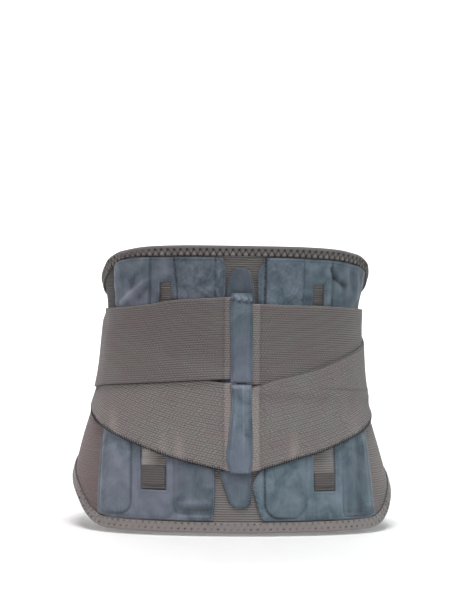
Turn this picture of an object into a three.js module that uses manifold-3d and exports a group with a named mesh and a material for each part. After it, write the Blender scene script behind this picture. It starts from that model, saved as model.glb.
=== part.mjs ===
// Elastic lumbar support belt in its worn shape: a ribbed elastic back with two wings that wrap the waist and
// overlap at the front, suede panels with stay pockets, and two pairs of elastic pull straps.
//
// Millimetres, +Z up. The origin is the centre of the waist. The back of the belt faces -Y, and the wearer's
// left side is at -X.
//
// Every piece is drawn on the waist: turn is the angle round it in degrees from the back seam, positive to the
// wearer's right; reach is the distance round it from the back seam; lift is the distance out from the skin.
import * as THREE from "three";
import { mergeVertices } from "three/addons/utils/BufferGeometryUtils.js";
import Module from "manifold-3d";

const wasm = await Module();
wasm.setup();

// Waist sections, from above the belt to below it. Lean is how far the sides stand to the wearer's right
const SECTIONS = [
  { z: 70, halfWidth: 153.5, back: 114, front: 112, lean: 0 },
  { z: 27, halfWidth: 144.8, back: 108, front: 106, lean: 0 },
  { z: -8, halfWidth: 136.8, back: 104, front: 102, lean: -0.6 },
  { z: -50, halfWidth: 137, back: 104, front: 104, lean: -2 },
  { z: -100, halfWidth: 142.6, back: 107, front: 110, lean: -2.6 },
  { z: -132, halfWidth: 152.4, back: 113, front: 115, lean: -2.6 },
  { z: -165, halfWidth: 162, back: 121, front: 120, lean: -2.2 },
  { z: -198, halfWidth: 170, back: 129, front: 124, lean: -0.9 },
  { z: -230, halfWidth: 176, back: 135, front: 126, lean: 0 },
  { z: -262, halfWidth: 179.5, back: 139, front: 127, lean: 0 },
];
const SQUARENESS = 0.04; // share of the third harmonic that flattens the back, front and sides

// Height of the belt's top and bottom edges at each turn, the same on both sides
const EDGES = [
  { turn: 0, top: 52.5, bottom: -246 },
  { turn: 25, top: 52, bottom: -245 },
  { turn: 40, top: 50, bottom: -244.5 },
  { turn: 48, top: 47.5, bottom: -243.5 },
  { turn: 54, top: 45.5, bottom: -239.5 },
  { turn: 60, top: 42, bottom: -232 },
  { turn: 66, top: 38, bottom: -223 },
  { turn: 72, top: 31.5, bottom: -215.5 },
  { turn: 80, top: 25, bottom: -208 },
  { turn: 90, top: 18, bottom: -199.5 },
  { turn: 110, top: 7, bottom: -186 },
  { turn: 140, top: 0, bottom: -176 },
  { turn: 180, top: -2, bottom: -172 },
  { turn: 205, top: -2, bottom: -172 },
];

const GAP = 0.8; // between layers that lie on each other
const ELASTIC = 2; // wall of the back panel and the wings
const SUEDE = 1.5; // wall of the panels and centre tapes
const WEBBING = 1.6; // wall of the pull straps
const SEAM_TURN = 48; // where the wings are sewn to the back panel
const SEAM_GAP_TURN = 0.15;

// Front closure: the left wing's end lies over the right one, with the fastener between them
const FRONT_END = 200; // turn of each wing's end
const CORNER = { turn: 8, drop: 18 }; // rounding of a wing end's corners
const OVERLAP = { from: 128, to: 154, lift: 6.9 }; // turns over which the left wing climbs, and how far

const BINDING = { width: 11, inset: 1.9, innerWall: 1.4, gap: 0.7, leg: 1.2 };
// Section of the folded tape round the edge: distance in from the edge, and lift
const BINDING_SECTION = [
  { inset: BINDING.width, lift: ELASTIC + BINDING.gap },
  { inset: BINDING.width, lift: ELASTIC + BINDING.gap + BINDING.leg },
  { inset: 1.6, lift: ELASTIC + BINDING.gap + BINDING.leg + 0.2 },
  { inset: 0, lift: ELASTIC / 2 },
  { inset: 1.6, lift: -BINDING.gap - BINDING.leg - 0.2 },
  { inset: BINDING.width, lift: -BINDING.gap - BINDING.leg },
  { inset: BINDING.width, lift: -BINDING.gap },
  { inset: BINDING.innerWall, lift: -BINDING.gap },
  { inset: BINDING.innerWall, lift: ELASTIC + BINDING.gap },
];

// Width of the outer leg along the top: the tape is drawn tight round the corner on the left
const TOP_TAPE_WIDTHS = [
  { turn: -62, width: 11 },
  { turn: -56, width: 9.6 },
  { turn: -50, width: 8.3 },
  { turn: -43, width: 8.9 },
  { turn: -35, width: 10 },
  { turn: -24, width: 11 },
];

// Suede panels: reach of the inner and outer edge down the back. The right one's inner edge is drawn in to the
// foot of the spine pad
const LEFT_PANEL_EDGES = [
  { z: 40, inner: 21.5, outer: 140 },
  { z: 29, inner: 18.3, outer: 145 },
  { z: 10, inner: 17.8, outer: 144.5 },
  { z: -80, inner: 20.3, outer: 150 },
  { z: -156, inner: 22.5, outer: 154.5 },
  { z: -180, inner: 27.3, outer: 155.5 },
  { z: -212, inner: 27.9, outer: 156.4 },
  { z: -231, inner: 29.5, outer: 155 },
];
const RIGHT_PANEL_EDGES = [
  { z: 40, inner: 21.5, outer: 148 },
  { z: 33, inner: 19.8, outer: 152 },
  { z: 27, inner: 16.5, outer: 152 },
  { z: 10, inner: 16, outer: 148.5 },
  { z: -8, inner: 16.1, outer: 144.5 },
  { z: -80, inner: 17.5, outer: 144 },
  { z: -156, inner: 20.5, outer: 146 },
  { z: -182, inner: 18.2, outer: 146.5 },
  { z: -190, inner: 13.8, outer: 147 },
  { z: -199, inner: 11, outer: 148 },
  { z: -209, inner: 12.6, outer: 149 },
  { z: -217, inner: 14.8, outer: 150 },
  { z: -233, inner: 21, outer: 152 },
];
const PANEL_TOP = 40;
const PANEL_BOTTOM = -234;
const PANEL_MARGIN = 1.4; // clear of the binding, square to the belt's edge
// Stay pockets, which swell the panel: reach of the two long edges at the top and the foot, and the foot's height
const LEFT_POCKETS = [
  { topFrom: 30, topTo: 70, footFrom: 30, footTo: 70, foot: -226 },
  { topFrom: 97, topTo: 138, footFrom: 115, footTo: 152, foot: -228 },
];
const RIGHT_POCKETS = [
  { topFrom: 24, topTo: 64, footFrom: 24, footTo: 66, foot: -229 },
  { topFrom: 97, topTo: 143, footFrom: 109, footTo: 146, foot: -229 },
];
const POCKET = { swell: 2.2, edge: 5, endFade: 14 };
// Windows cut through each panel between the pockets, and the tab sewn across the lower one
const LEFT_WINDOWS = [
  { from: 74.5, to: 86.2, bottom: -30, top: 13.2 },
  { from: 78, to: 104.5, bottom: -203, top: -135 },
];
const RIGHT_WINDOWS = [
  { from: 76, to: 87.4, bottom: -30, top: 13 },
  { from: 75.6, to: 99.3, bottom: -204, top: -135 },
];
const LEFT_TAB = { from: 78.8, to: 103.7, bottom: -202.2, top: -178.6 };
const RIGHT_TAB = { from: 76.4, to: 98.5, bottom: -203.2, top: -185.4 };
const WINDOW_TAB_WALL = 1.3;

// Spine pad: reach of its left and right edges down the back
const SPINE_PAD = [
  { z: 29.5, left: -6, right: 1.5 },
  { z: 27.5, left: -9.5, right: 5 },
  { z: 22, left: -13.3, right: 9 },
  { z: 12, left: -15.5, right: 11 },
  { z: 0, left: -17, right: 12.5 },
  { z: -120, left: -18.5, right: 13 },
  { z: -170, left: -22, right: 12 },
  { z: -185, left: -22.8, right: 10.8 },
  { z: -197, left: -19.7, right: 9.2 },
  { z: -208, left: -15.7, right: 9.4 },
  { z: -216, left: -12.3, right: 8 },
  { z: -220.5, left: -7, right: 4 },
];
const SPINE_PAD_WALL = 2.2;

// Pull straps: height of the long edges at each reach
const UPPER_LEFT_STRAP = [
  { reach: 5, top: -0.8, bottom: -88.6 },
  { reach: 44, top: -3, bottom: -90.8 },
  { reach: 70, top: -5.2, bottom: -92.8 },
  { reach: 100, top: -10.6, bottom: -95.4 },
  { reach: 140, top: -14.2, bottom: -99 },
  { reach: 190, top: -15.5, bottom: -103 },
  { reach: 300, top: -15, bottom: -102 },
];
const UPPER_RIGHT_STRAP = [
  { reach: 5, top: -8, bottom: -93.5 },
  { reach: 51, top: -9.2, bottom: -94.6 },
  { reach: 82, top: -9.6, bottom: -96 },
  { reach: 134, top: -11.5, bottom: -99.6 },
  { reach: 190, top: -14, bottom: -103 },
  { reach: 300, top: -15, bottom: -102 },
];
const LOWER_LEFT_STRAP = [
  { reach: 5, top: -92.5, bottom: -186 },
  { reach: 31, top: -90.5, bottom: -181 },
  { reach: 62, top: -84.5, bottom: -173.8 },
  { reach: 88, top: -77.5, bottom: -165.8 },
  { reach: 113, top: -69, bottom: -157 },
  { reach: 149, top: -56, bottom: -143 },
  { reach: 175, top: -47, bottom: -134.4 },
  { reach: 190, top: -42.5, bottom: -130 },
  { reach: 250, top: -26, bottom: -115 },
  { reach: 300, top: -18, bottom: -105 },
];
const LOWER_RIGHT_STRAP = [
  { reach: 5, top: -96.6, bottom: -186 },
  { reach: 18, top: -94.2, bottom: -183 },
  { reach: 31, top: -88.7, bottom: -179.4 },
  { reach: 58, top: -82, bottom: -171.2 },
  { reach: 84, top: -74.6, bottom: -164 },
  { reach: 104, top: -66.5, bottom: -156.5 },
  { reach: 140, top: -54, bottom: -142 },
  { reach: 156, top: -49.5, bottom: -134.8 },
  { reach: 190, top: -41, bottom: -126 },
  { reach: 250, top: -26, bottom: -113 },
  { reach: 300, top: -18, bottom: -105 },
];
const STRAP_ENDS = { outer: 300 };
// Lift of a strap's underside at each reach: over the spine pad, pockets and panel, then down to the wing
const STRAP_SEAT = [
  { reach: 5, seat: 5.8 },
  { reach: 13, seat: 5.9 },
  { reach: 19, seat: 6.2 },
  { reach: 26, seat: 7.5 },
  { reach: 64, seat: 7.5 },
  { reach: 74, seat: 7.1 },
  { reach: 90, seat: 7.1 },
  { reach: 97, seat: 7.5 },
  { reach: 150, seat: 7.5 },
  { reach: 166, seat: 5.2 },
  { reach: 190, seat: 3.3 },
  { reach: 205, seat: 3.1 },
  { reach: 220, seat: 3.1 },
  { reach: 340, seat: 3.1 },
];
// Where straps cross, the outer one climbs this far, between these distances from the inner one's edge
const CROSSING = { climb: 2.5, starts: 18, ends: 6, innerFrom: 12, innerTo: 17 };

// Centre tapes over the straps' inner ends: reach of the left and right edges down the back
const UPPER_TAPE = [
  { z: 3.5, left: -11.2, right: 9.8 },
  { z: -7, left: -13.2, right: 9.7 },
  { z: -26, left: -13, right: 10.5 },
  { z: -73, left: -11.8, right: 11 },
  { z: -91.8, left: -11.8, right: 11.2 },
];
const LOWER_TAPE = [
  { z: -93.8, left: -11.8, right: 10.2 },
  { z: -115, left: -11, right: 10 },
  { z: -153, left: -14.5, right: 10.9 },
  { z: -173, left: -16.7, right: 10.7 },
  { z: -186.5, left: -12.2, right: 8.4 },
];
const TAPE_LIFT = 8.2;

// Hidden front pieces
const FASTENER = { from: 168, to: 192, bottom: -152, top: -22 };
const STRAP_TAB = { from: 284, to: 338, bottom: -112, top: -14, wall: 1.8, ramp: { from: 303, to: 322 } };

// Materials
const ribbedElastic = { color: 0x6e6a68, roughness: 0.9, metalness: 0 };
const suede = { color: 0x5e6872, roughness: 0.95, metalness: 0 };
const bindingTape = { color: 0x706a68, roughness: 0.92, metalness: 0 };
const darkElastic = { color: 0x565556, roughness: 0.92, metalness: 0 };
const hookTape = { color: 0x4a4847, roughness: 0.85, metalness: 0 };

const belt = new THREE.Group();

// A smooth curve through a table: its column `out` as a function of its column `along`
function curveThrough(rows, along, out) {
  const sorted = [...rows].sort((p, q) => p[along] - q[along]);
  const places = sorted.map((row) => row[along]);
  const values = sorted.map((row) => row[out]);
  const spline = new THREE.CubicInterpolant(places, values, 1);
  return (x) => spline.evaluate(x)[0];
}

const { lerp, smoothstep, degToRad, radToDeg } = THREE.MathUtils;
const halfWidth = curveThrough(SECTIONS, "z", "halfWidth");
const backDepth = curveThrough(SECTIONS, "z", "back");
const frontDepth = curveThrough(SECTIONS, "z", "front");
const lean = curveThrough(SECTIONS, "z", "lean");
const plainTop = curveThrough(EDGES, "turn", "top");
const plainBottom = curveThrough(EDGES, "turn", "bottom");
const strapSeat = curveThrough(STRAP_SEAT, "reach", "seat");

// Point of the skin at an angle and a height: an oval with a touch of the third harmonic
function skinPoint(angle, z) {
  const depth = Math.cos(angle) > 0 ? backDepth(z) : frontDepth(z);
  const across = Math.sin(angle) + SQUARENESS * Math.sin(3 * angle);
  const forward = Math.cos(angle) - SQUARENESS * Math.cos(3 * angle);
  const full = 1 - SQUARENESS;
  const x = (halfWidth(z) * across) / full + lean(z) * Math.sin(angle) ** 2;
  return new THREE.Vector3(x, (-depth * forward) / full, z);
}

// Point at a turn and a height, lifted off the skin along its normal
function onWaist(turn, z, lift) {
  const angle = degToRad(turn);
  const [angleStep, heightStep] = [0.001, 0.5];
  const round = skinPoint(angle + angleStep, z).sub(skinPoint(angle - angleStep, z));
  const up = skinPoint(angle, z + heightStep).sub(skinPoint(angle, z - heightStep));
  return skinPoint(angle, z).addScaledVector(round.cross(up).normalize(), lift);
}

// Turn at a distance round the waist from the back seam, stepping along the skin
function turnAt(reach, z) {
  const angleStep = degToRad(Math.sign(reach));
  let angle = 0;
  let left = Math.abs(reach);
  let here = skinPoint(0, z);
  for (;;) {
    const next = skinPoint(angle + angleStep, z);
    const stride = next.distanceTo(here);
    if (stride >= left) return left > 0 ? radToDeg(angle + (angleStep * left) / stride) : 0;
    angle += angleStep;
    left -= stride;
    here = next;
  }
}

// Point at a distance round the waist, with the climb of the left wing's end added to its lift
function atReach(reach, z, lift) {
  const turn = turnAt(reach, z);
  return onWaist(turn, z, lift + wingLift(turn));
}

function wingLift(turn) {
  return turn < 0 ? OVERLAP.lift * smoothstep(-turn, OVERLAP.from, OVERLAP.to) : 0;
}

// Top and bottom edges of a strip of the belt whose rounded ends are at the turn `end`
function cornerDrop(turn, end) {
  const past = (Math.abs(turn) - (end - CORNER.turn)) / CORNER.turn;
  return past > 0 ? CORNER.drop * (1 - Math.sqrt(1 - Math.min(past, 1) ** 2)) : 0;
}
const topEdge = (turn, end = FRONT_END) => plainTop(Math.abs(turn)) - cornerDrop(turn, end);
const bottomEdge = (turn, end = FRONT_END) => plainBottom(Math.abs(turn)) + cornerDrop(turn, end);

// Even steps from one value to another, both included
function steps(from, to, count) {
  return Array.from({ length: count + 1 }, (_, i) => lerp(from, to, i / count));
}

// The places given, with more between them so that no stretch is longer than `longest`
function divided(places, longest) {
  const stretches = places.slice(1).flatMap((to, i) => {
    const count = Math.ceil((to - places[i]) / longest);
    return steps(places[i], to, count).slice(1);
  });
  return [places[0], ...stretches];
}

// Turns of the columns of the back panel, the wings and the binding over them
const BACK_TURNS = steps(0, SEAM_TURN, 8);
const WING_TURNS = [...steps(SEAM_TURN, 90, 7), ...steps(90, FRONT_END - CORNER.turn, 9).slice(1)];

// A closed cloth wall: a box of columns by rows, each corner laid where lay(column, row, layer) says,
// with layer 0 on the wearer's side and 1 outside
function clothGeometry(columns, rows, lay) {
  const box = new THREE.BoxGeometry(1, 1, 1, columns, rows, 1);
  box.deleteAttribute("normal");
  box.deleteAttribute("uv");
  const cloth = mergeVertices(box);
  const corners = cloth.attributes.position;
  for (let i = 0; i < corners.count; i++) {
    const column = Math.round((corners.getX(i) + 0.5) * columns);
    const row = Math.round((corners.getY(i) + 0.5) * rows);
    const spot = lay(column, row, Math.round(corners.getZ(i) + 0.5));
    corners.setXYZ(i, spot.x, spot.y, spot.z);
  }
  return cloth;
}

// A closed tape: a ring of path steps whose section is laid by lay(step, corner)
function tapeGeometry(pathSteps, sectionCorners, lay) {
  const ring = new THREE.TorusGeometry(1, 0.5, sectionCorners, pathSteps);
  const places = ring.attributes.uv;
  const corners = ring.attributes.position;
  for (let i = 0; i < corners.count; i++) {
    const step = Math.round(places.getX(i) * pathSteps) % pathSteps;
    const corner = Math.round(places.getY(i) * sectionCorners) % sectionCorners;
    const spot = lay(step, corner);
    corners.setXYZ(i, spot.x, spot.y, spot.z);
  }
  ring.deleteAttribute("normal");
  ring.deleteAttribute("uv");
  return mergeVertices(ring);
}

function solidOf(geometry) {
  const { position } = geometry.attributes;
  const triVerts = new Uint32Array(geometry.index.array);
  return new wasm.Manifold(new wasm.Mesh({ numProp: 3, vertProperties: position.array, triVerts }));
}

function geometryOf(solid) {
  const { vertProperties, triVerts } = solid.getMesh();
  const geometry = new THREE.BufferGeometry();
  geometry.setAttribute("position", new THREE.BufferAttribute(vertProperties, 3));
  return geometry.setIndex(new THREE.BufferAttribute(triVerts, 1));
}

function addPiece(name, geometry, finish) {
  const piece = new THREE.Mesh(geometry, new THREE.MeshStandardMaterial(finish));
  piece.name = name;
  belt.add(piece);
}

// A patch of cloth between two reaches and two heights, with one lift for its underside
function patchGeometry(patch, side, columns, rows, lift, wall) {
  const reaches = side > 0 ? [patch.from, patch.to] : [-patch.to, -patch.from];
  return clothGeometry(columns, rows, (column, row, layer) =>
    atReach(lerp(...reaches, column / columns), lerp(patch.bottom, patch.top, row / rows), lift + layer * wall),
  );
}

// Elastic wall between two lists of turns, inset from the edges so that the binding can fold over them
function addElastic(name, turns, end) {
  const rows = 13;
  const geometry = clothGeometry(turns.length - 1, rows, (column, row, layer) => {
    const turn = turns[column];
    const low = bottomEdge(turn, end) + BINDING.inset;
    const high = topEdge(turn, end) - BINDING.inset;
    return onWaist(turn, lerp(low, high, row / rows), wingLift(turn) + layer * ELASTIC);
  });
  addPiece(name, geometry, ribbedElastic);
}

// Turns of the quarter round at a wing's end, closer together as the edge steepens
function cornerTurns(end, count) {
  return steps(0, Math.PI / 2, count).map((angle) => end - CORNER.turn * (1 - Math.sin(angle)));
}

function addBody() {
  const wingEnd = FRONT_END - 1.3;
  addElastic("back_panel", [...BACK_TURNS.slice(1).reverse().map((turn) => -turn), ...BACK_TURNS], FRONT_END);
  const right = [SEAM_TURN + SEAM_GAP_TURN, ...WING_TURNS.slice(1, -1), ...cornerTurns(wingEnd, 3)];
  addElastic("wing_right", right, wingEnd);
  addElastic("wing_left", right.map((turn) => -turn).reverse(), wingEnd);
}

// Outline of the belt as a closed run of turns and heights, clockwise seen from outside
function outline() {
  const half = [...BACK_TURNS, ...WING_TURNS.slice(1), ...cornerTurns(FRONT_END, 4).slice(1)];
  const across = [...half.slice(1).reverse().map((turn) => -turn), ...half];
  const top = across.map((turn) => ({ turn, z: topEdge(turn) }));
  const bottom = across.map((turn) => ({ turn, z: bottomEdge(turn) })).reverse();
  const endHeights = steps(topEdge(FRONT_END), bottomEdge(FRONT_END), 6).slice(1, -1);
  const rightEnd = endHeights.map((z) => ({ turn: FRONT_END, z }));
  const leftEnd = [...endHeights].reverse().map((z) => ({ turn: -FRONT_END, z }));
  return [...top, ...rightEnd, ...bottom, ...leftEnd];
}

const topTapeWidth = curveThrough(TOP_TAPE_WIDTHS, "turn", "width");

// Folded tape round the outline: its section is carried along, square to the edge
function addBinding() {
  const run = outline();
  const millimetresPerTurn = (spot) => skinPoint(degToRad(spot.turn), spot.z).distanceTo(
    skinPoint(degToRad(spot.turn + 1), spot.z),
  );
  const geometry = tapeGeometry(run.length, BINDING_SECTION.length, (step, corner) => {
    const spot = run[step];
    const before = run[(step + run.length - 1) % run.length];
    const after = run[(step + 1) % run.length];
    const scale = millimetresPerTurn(spot);
    const along = new THREE.Vector2((after.turn - before.turn) * scale, after.z - before.z).normalize();
    const { inset: full, lift } = BINDING_SECTION[corner];
    const inset = spot.z > 0 && full === BINDING.width ? topTapeWidth(spot.turn) : full;
    const turn = spot.turn + (along.y * inset) / scale;
    return onWaist(turn, spot.z - along.x * inset, lift + wingLift(spot.turn));
  });
  addPiece("edge_binding", geometry, bindingTape);
}

// Reach of a pocket's two long edges at a height
function pocketSides(pocket, z) {
  const down = THREE.MathUtils.clamp((PANEL_TOP - z) / (PANEL_TOP - pocket.foot), 0, 1);
  return [lerp(pocket.topFrom, pocket.footFrom, down), lerp(pocket.topTo, pocket.footTo, down)];
}

// How far the stay pockets swell the panel at a reach and a height
function pocketSwell(pockets, reach, z) {
  return pockets.reduce((swell, pocket) => {
    const [from, to] = pocketSides(pocket, z);
    const rise = smoothstep(reach, from, from + POCKET.edge);
    const fall = 1 - smoothstep(reach, to - POCKET.edge, to);
    const foot = smoothstep(z, pocket.foot, pocket.foot + POCKET.endFade);
    return swell + POCKET.swell * rise * fall * foot;
  }, 0);
}

// Reaches of the panel's columns at a height: its two edges, the pockets' edges and steps between them
function panelColumns(inner, outer, pockets, z) {
  const [first, second] = pockets.map((pocket) => pocketSides(pocket, z));
  const pocketSteps = ([from, to], count) => [from, ...steps(from + POCKET.edge, to - POCKET.edge, count), to];
  const between = steps(first[1], second[0], 3).slice(1, -1);
  const edges = [inner, ...pocketSteps(first, 3), ...between, ...pocketSteps(second, 4), outer];
  const last = edges.length - 1;
  return edges.map((reach, i) => THREE.MathUtils.clamp(reach, inner + 0.3 * i, outer - 0.3 * (last - i)));
}

// Distance to step down from an edge so as to be a margin in from it, measured square to it
function stepFrom(edge, turn, margin) {
  const millimetresPerTurn = 2.5;
  const slope = (edge(turn + 1) - edge(turn - 1)) / (2 * millimetresPerTurn);
  return margin * Math.hypot(1, slope);
}

function addPanel(name, side, edges, pockets, holes, patch) {
  const inner = curveThrough(edges, "z", "inner");
  const outer = curveThrough(edges, "z", "outer");
  const heights = divided([PANEL_BOTTOM, -226, -217, -209, -199, -190, -182, -140, 0, PANEL_TOP], 24);
  const lines = heights.map((z) => panelColumns(inner(z), outer(z), pockets, z));
  const columns = lines[0].length - 1;
  const rows = heights.length - 1;
  const panel = clothGeometry(columns, rows, (column, row, layer) => {
    const reach = lines[row][side > 0 ? column : columns - column];
    const turn = Math.abs(turnAt(side * reach, heights[row]));
    const share = (heights[row] - PANEL_BOTTOM) / (PANEL_TOP - PANEL_BOTTOM);
    const low = bottomEdge(turn) + stepFrom(bottomEdge, turn, BINDING.width + PANEL_MARGIN);
    const high = topEdge(turn) - stepFrom(topEdge, turn, topTapeWidth(side * turn) + PANEL_MARGIN);
    const z = lerp(low, high, share);
    const outside = layer * (SUEDE + pocketSwell(pockets, reach, z));
    return atReach(side * reach, z, ELASTIC + GAP + outside);
  });
  const windows = holes.map((hole) => solidOf(patchGeometry(hole, side, 3, 5, ELASTIC + GAP / 2, 5)));
  const cut = windows.reduce((rest, hole) => rest.subtract(hole), solidOf(panel));
  addPiece(`panel_${name}`, geometryOf(cut), suede);
  const tab = patchGeometry(patch, side, 3, 2, ELASTIC + GAP, WINDOW_TAB_WALL);
  addPiece(`window_tab_${name}`, tab, darkElastic);
}

// A flat strip down the back whose left and right edges follow a table
function stripGeometry(table, columns, longest, lift, wall) {
  const left = curveThrough(table, "z", "left");
  const right = curveThrough(table, "z", "right");
  const heights = divided(table.map((row) => row.z).reverse(), longest);
  return clothGeometry(columns, heights.length - 1, (column, row, layer) => {
    const z = heights[row];
    return atReach(lerp(left(z), right(z), column / columns), z, lift + layer * wall);
  });
}

// One pull strap from its inner end to the front; climb(reach, z) is what it rises over the strap below it
function addStrap(name, side, table, climb) {
  const top = curveThrough(table, "reach", "top");
  const bottom = curveThrough(table, "reach", "bottom");
  const seats = STRAP_SEAT.map((row) => row.reach).filter((reach) => reach < STRAP_ENDS.outer);
  const reaches = divided([...seats, STRAP_ENDS.outer], 18);
  const columns = reaches.length - 1;
  const rows = 5;
  const geometry = clothGeometry(columns, rows, (column, row, layer) => {
    const reach = reaches[side > 0 ? column : columns - column];
    const z = lerp(bottom(reach), top(reach), row / rows);
    return atReach(side * reach, z, strapSeat(reach) + climb(reach, z) + layer * WEBBING);
  });
  addPiece(name, geometry, ribbedElastic);
}

// On the left the upper strap lies over the lower one, and on the right under it
function addStraps() {
  const { climb, starts, ends, innerFrom, innerTo } = CROSSING;
  const lowerTop = curveThrough(LOWER_LEFT_STRAP, "reach", "top");
  const upperBottom = curveThrough(UPPER_RIGHT_STRAP, "reach", "bottom");
  const level = () => 0;
  const awayFromSeam = (reach) => smoothstep(reach, innerFrom, innerTo);
  const overLower = (reach, z) =>
    climb * awayFromSeam(reach) * (1 - smoothstep(z - lowerTop(reach), ends, starts));
  const overUpper = (reach, z) =>
    climb * awayFromSeam(reach) * (1 - smoothstep(upperBottom(reach) - z, ends, starts));
  addStrap("lower_strap_left", -1, LOWER_LEFT_STRAP, level);
  addStrap("upper_strap_left", -1, UPPER_LEFT_STRAP, overLower);
  addStrap("upper_strap_right", 1, UPPER_RIGHT_STRAP, level);
  addStrap("lower_strap_right", 1, LOWER_RIGHT_STRAP, overUpper);
}

function addFront() {
  const columns = 6;
  const rows = 4;
  const overRight = ELASTIC + GAP;
  const wall = OVERLAP.lift - overRight - GAP;
  const fastener = clothGeometry(columns, rows, (column, row, layer) => {
    const turn = lerp(FASTENER.from, FASTENER.to, column / columns);
    return onWaist(turn, lerp(FASTENER.bottom, FASTENER.top, row / rows), overRight + layer * wall);
  });
  addPiece("front_fastener", fastener, hookTape);

  const { from, to, bottom, top, ramp } = STRAP_TAB;
  const overStraps = strapSeat(STRAP_ENDS.outer) + CROSSING.climb + WEBBING + GAP;
  for (const [side, name] of [[-1, "left"], [1, "right"]]) {
    const reaches = side > 0 ? [from, to] : [-to, -from];
    const tab = clothGeometry(columns, rows, (column, row, layer) => {
      const reach = lerp(...reaches, column / columns);
      const down = smoothstep(Math.abs(reach), ramp.from, ramp.to);
      const seat = lerp(overStraps, ELASTIC + GAP, down);
      return atReach(reach, lerp(bottom, top, row / rows), seat + layer * STRAP_TAB.wall);
    });
    addPiece(`strap_tab_${name}`, tab, hookTape);
  }
}

addBody();
addBinding();
addPanel("left", -1, LEFT_PANEL_EDGES, LEFT_POCKETS, LEFT_WINDOWS, LEFT_TAB);
addPanel("right", 1, RIGHT_PANEL_EDGES, RIGHT_POCKETS, RIGHT_WINDOWS, RIGHT_TAB);
addPiece("spine_pad", stripGeometry(SPINE_PAD, 4, 24, ELASTIC + GAP, SPINE_PAD_WALL), suede);
addStraps();
addPiece("upper_centre_tape", stripGeometry(UPPER_TAPE, 4, 16, TAPE_LIFT, SUEDE), suede);
addPiece("lower_centre_tape", stripGeometry(LOWER_TAPE, 4, 16, TAPE_LIFT, SUEDE), suede);
addFront();

export default belt;
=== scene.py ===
import functools
import math
import bmesh
import bpy
import numpy as np
from mathutils import Matrix


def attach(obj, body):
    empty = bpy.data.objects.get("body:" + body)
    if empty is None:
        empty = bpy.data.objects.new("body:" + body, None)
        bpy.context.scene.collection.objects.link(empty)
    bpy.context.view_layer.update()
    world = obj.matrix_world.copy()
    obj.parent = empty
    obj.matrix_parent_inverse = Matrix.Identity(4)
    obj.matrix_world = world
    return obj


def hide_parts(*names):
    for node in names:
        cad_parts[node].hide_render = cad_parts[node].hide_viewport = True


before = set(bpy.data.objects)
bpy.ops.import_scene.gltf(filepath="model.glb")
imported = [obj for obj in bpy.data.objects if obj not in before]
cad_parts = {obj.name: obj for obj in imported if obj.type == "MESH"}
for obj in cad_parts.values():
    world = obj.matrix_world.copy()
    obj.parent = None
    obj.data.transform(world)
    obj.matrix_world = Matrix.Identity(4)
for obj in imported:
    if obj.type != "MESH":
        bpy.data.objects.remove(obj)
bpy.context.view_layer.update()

# sizes are in millimetres and turn to metres when a mesh is made
# reach: distance round the waist from the back seam, + to the wearer's right; lift: distance off the skin
mm = 0.001
waist = {
    "z": [70, 27, -8, -50, -100, -132, -165, -198, -230, -262],
    "halfWidth": [153.5, 144.8, 136.8, 137, 142.6, 152.4, 162, 170, 176, 179.5],
    "back": [114, 108, 104, 104, 107, 113, 121, 129, 135, 139],
    "front": [112, 106, 102, 104, 110, 115, 120, 124, 126, 127],
    "lean": [0, 0, -0.6, -2, -2.6, -2.6, -2.2, -0.9, 0, 0],  # how far the sides stand to the wearer's right
    "squareness": 0.04,
}
beltEdges = {
    "turn": [0, 25, 40, 48, 54, 60, 66, 72, 80, 90, 110, 140, 180, 205],
    "top": [52.5, 52, 50, 47.5, 45.5, 42, 38, 31.5, 25, 18, 7, 0, -2, -2],
    "bottom": [-246, -245, -244.5, -243.5, -239.5, -232, -223, -215.5, -208, -199.5, -186, -176, -172, -172],
}
layers = {"elastic": 2.0, "gap": 0.8, "suede": 1.5, "webbing": 1.6}
onElastic = layers["elastic"] + layers["gap"]  # lift of what is sewn on the elastic
front = {"end": 200, "cornerTurn": 8, "cornerDrop": 18, "climbFrom": 128, "climbTo": 154, "climb": 6.9}


# cubic pieces through a table's rows; the slope at a row is the mean of the slopes on its two sides
def through(table, along, out):
    order = np.argsort(table[along])
    places = np.array(table[along], float)[order]
    values = np.array(table[out], float)[order]
    secant = np.diff(values) / np.diff(places)
    slopes = np.concatenate([secant[:1], (secant[1:] + secant[:-1]) / 2, secant[-1:]])

    def at(x):
        x = np.clip(x, places[0], places[-1])
        i = np.clip(np.searchsorted(places, x) - 1, 0, len(places) - 2)
        span = places[i + 1] - places[i]
        t = (x - places[i]) / span
        start = values[i] * (1 + 2 * t) * (1 - t) ** 2 + slopes[i] * span * t * (1 - t) ** 2
        end = values[i + 1] * (3 - 2 * t) * t**2 + slopes[i + 1] * span * (t - 1) * t**2
        return start + end

    return at


def curves(table, along, *keys):
    return [through(table, along, key) for key in keys]


def smooth(x, low, high):
    t = np.clip((x - low) / (high - low), 0, 1)
    return t * t * (3 - 2 * t)


def fade(x, low, high):
    return 1 - smooth(x, low, high)


def mix(a, b, share):
    return a + (b - a) * share


# 1 at a place, falling away on both sides of it
def bell(x, place, wide):
    return np.exp(-(((x - place) / wide) ** 2))


# a wave from -1 to 1 that never quite repeats
def wander(x, pace, bend, slow):
    return np.sin(pace * x + bend * np.sin(slow * x))


# length walked along a line at each of its points
def walked(across, up):
    return np.concatenate([[0], np.cumsum(np.hypot(np.diff(across), np.diff(up)))])


# a sewn line and the rounded edge outside it, as changes of lift and of painted shade
def hemmed(line, edge, look):
    at, wide, depth, tone = look["hem"]
    edgeDepth, edgeWide, edgePaintedShade, toneWide = look["edge"]
    hem = bell(line, at, wide)
    return -depth * hem - edgeDepth * fade(edge, 0, edgeWide), tone * hem + edgePaintedShade * fade(edge, 0, toneWide)


# distance in from the nearest of four edges
def edgeDistance(reach, z, left, right, low, high):
    return np.minimum(np.minimum(reach - left, right - reach), np.minimum(z - low, high - z))


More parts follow.
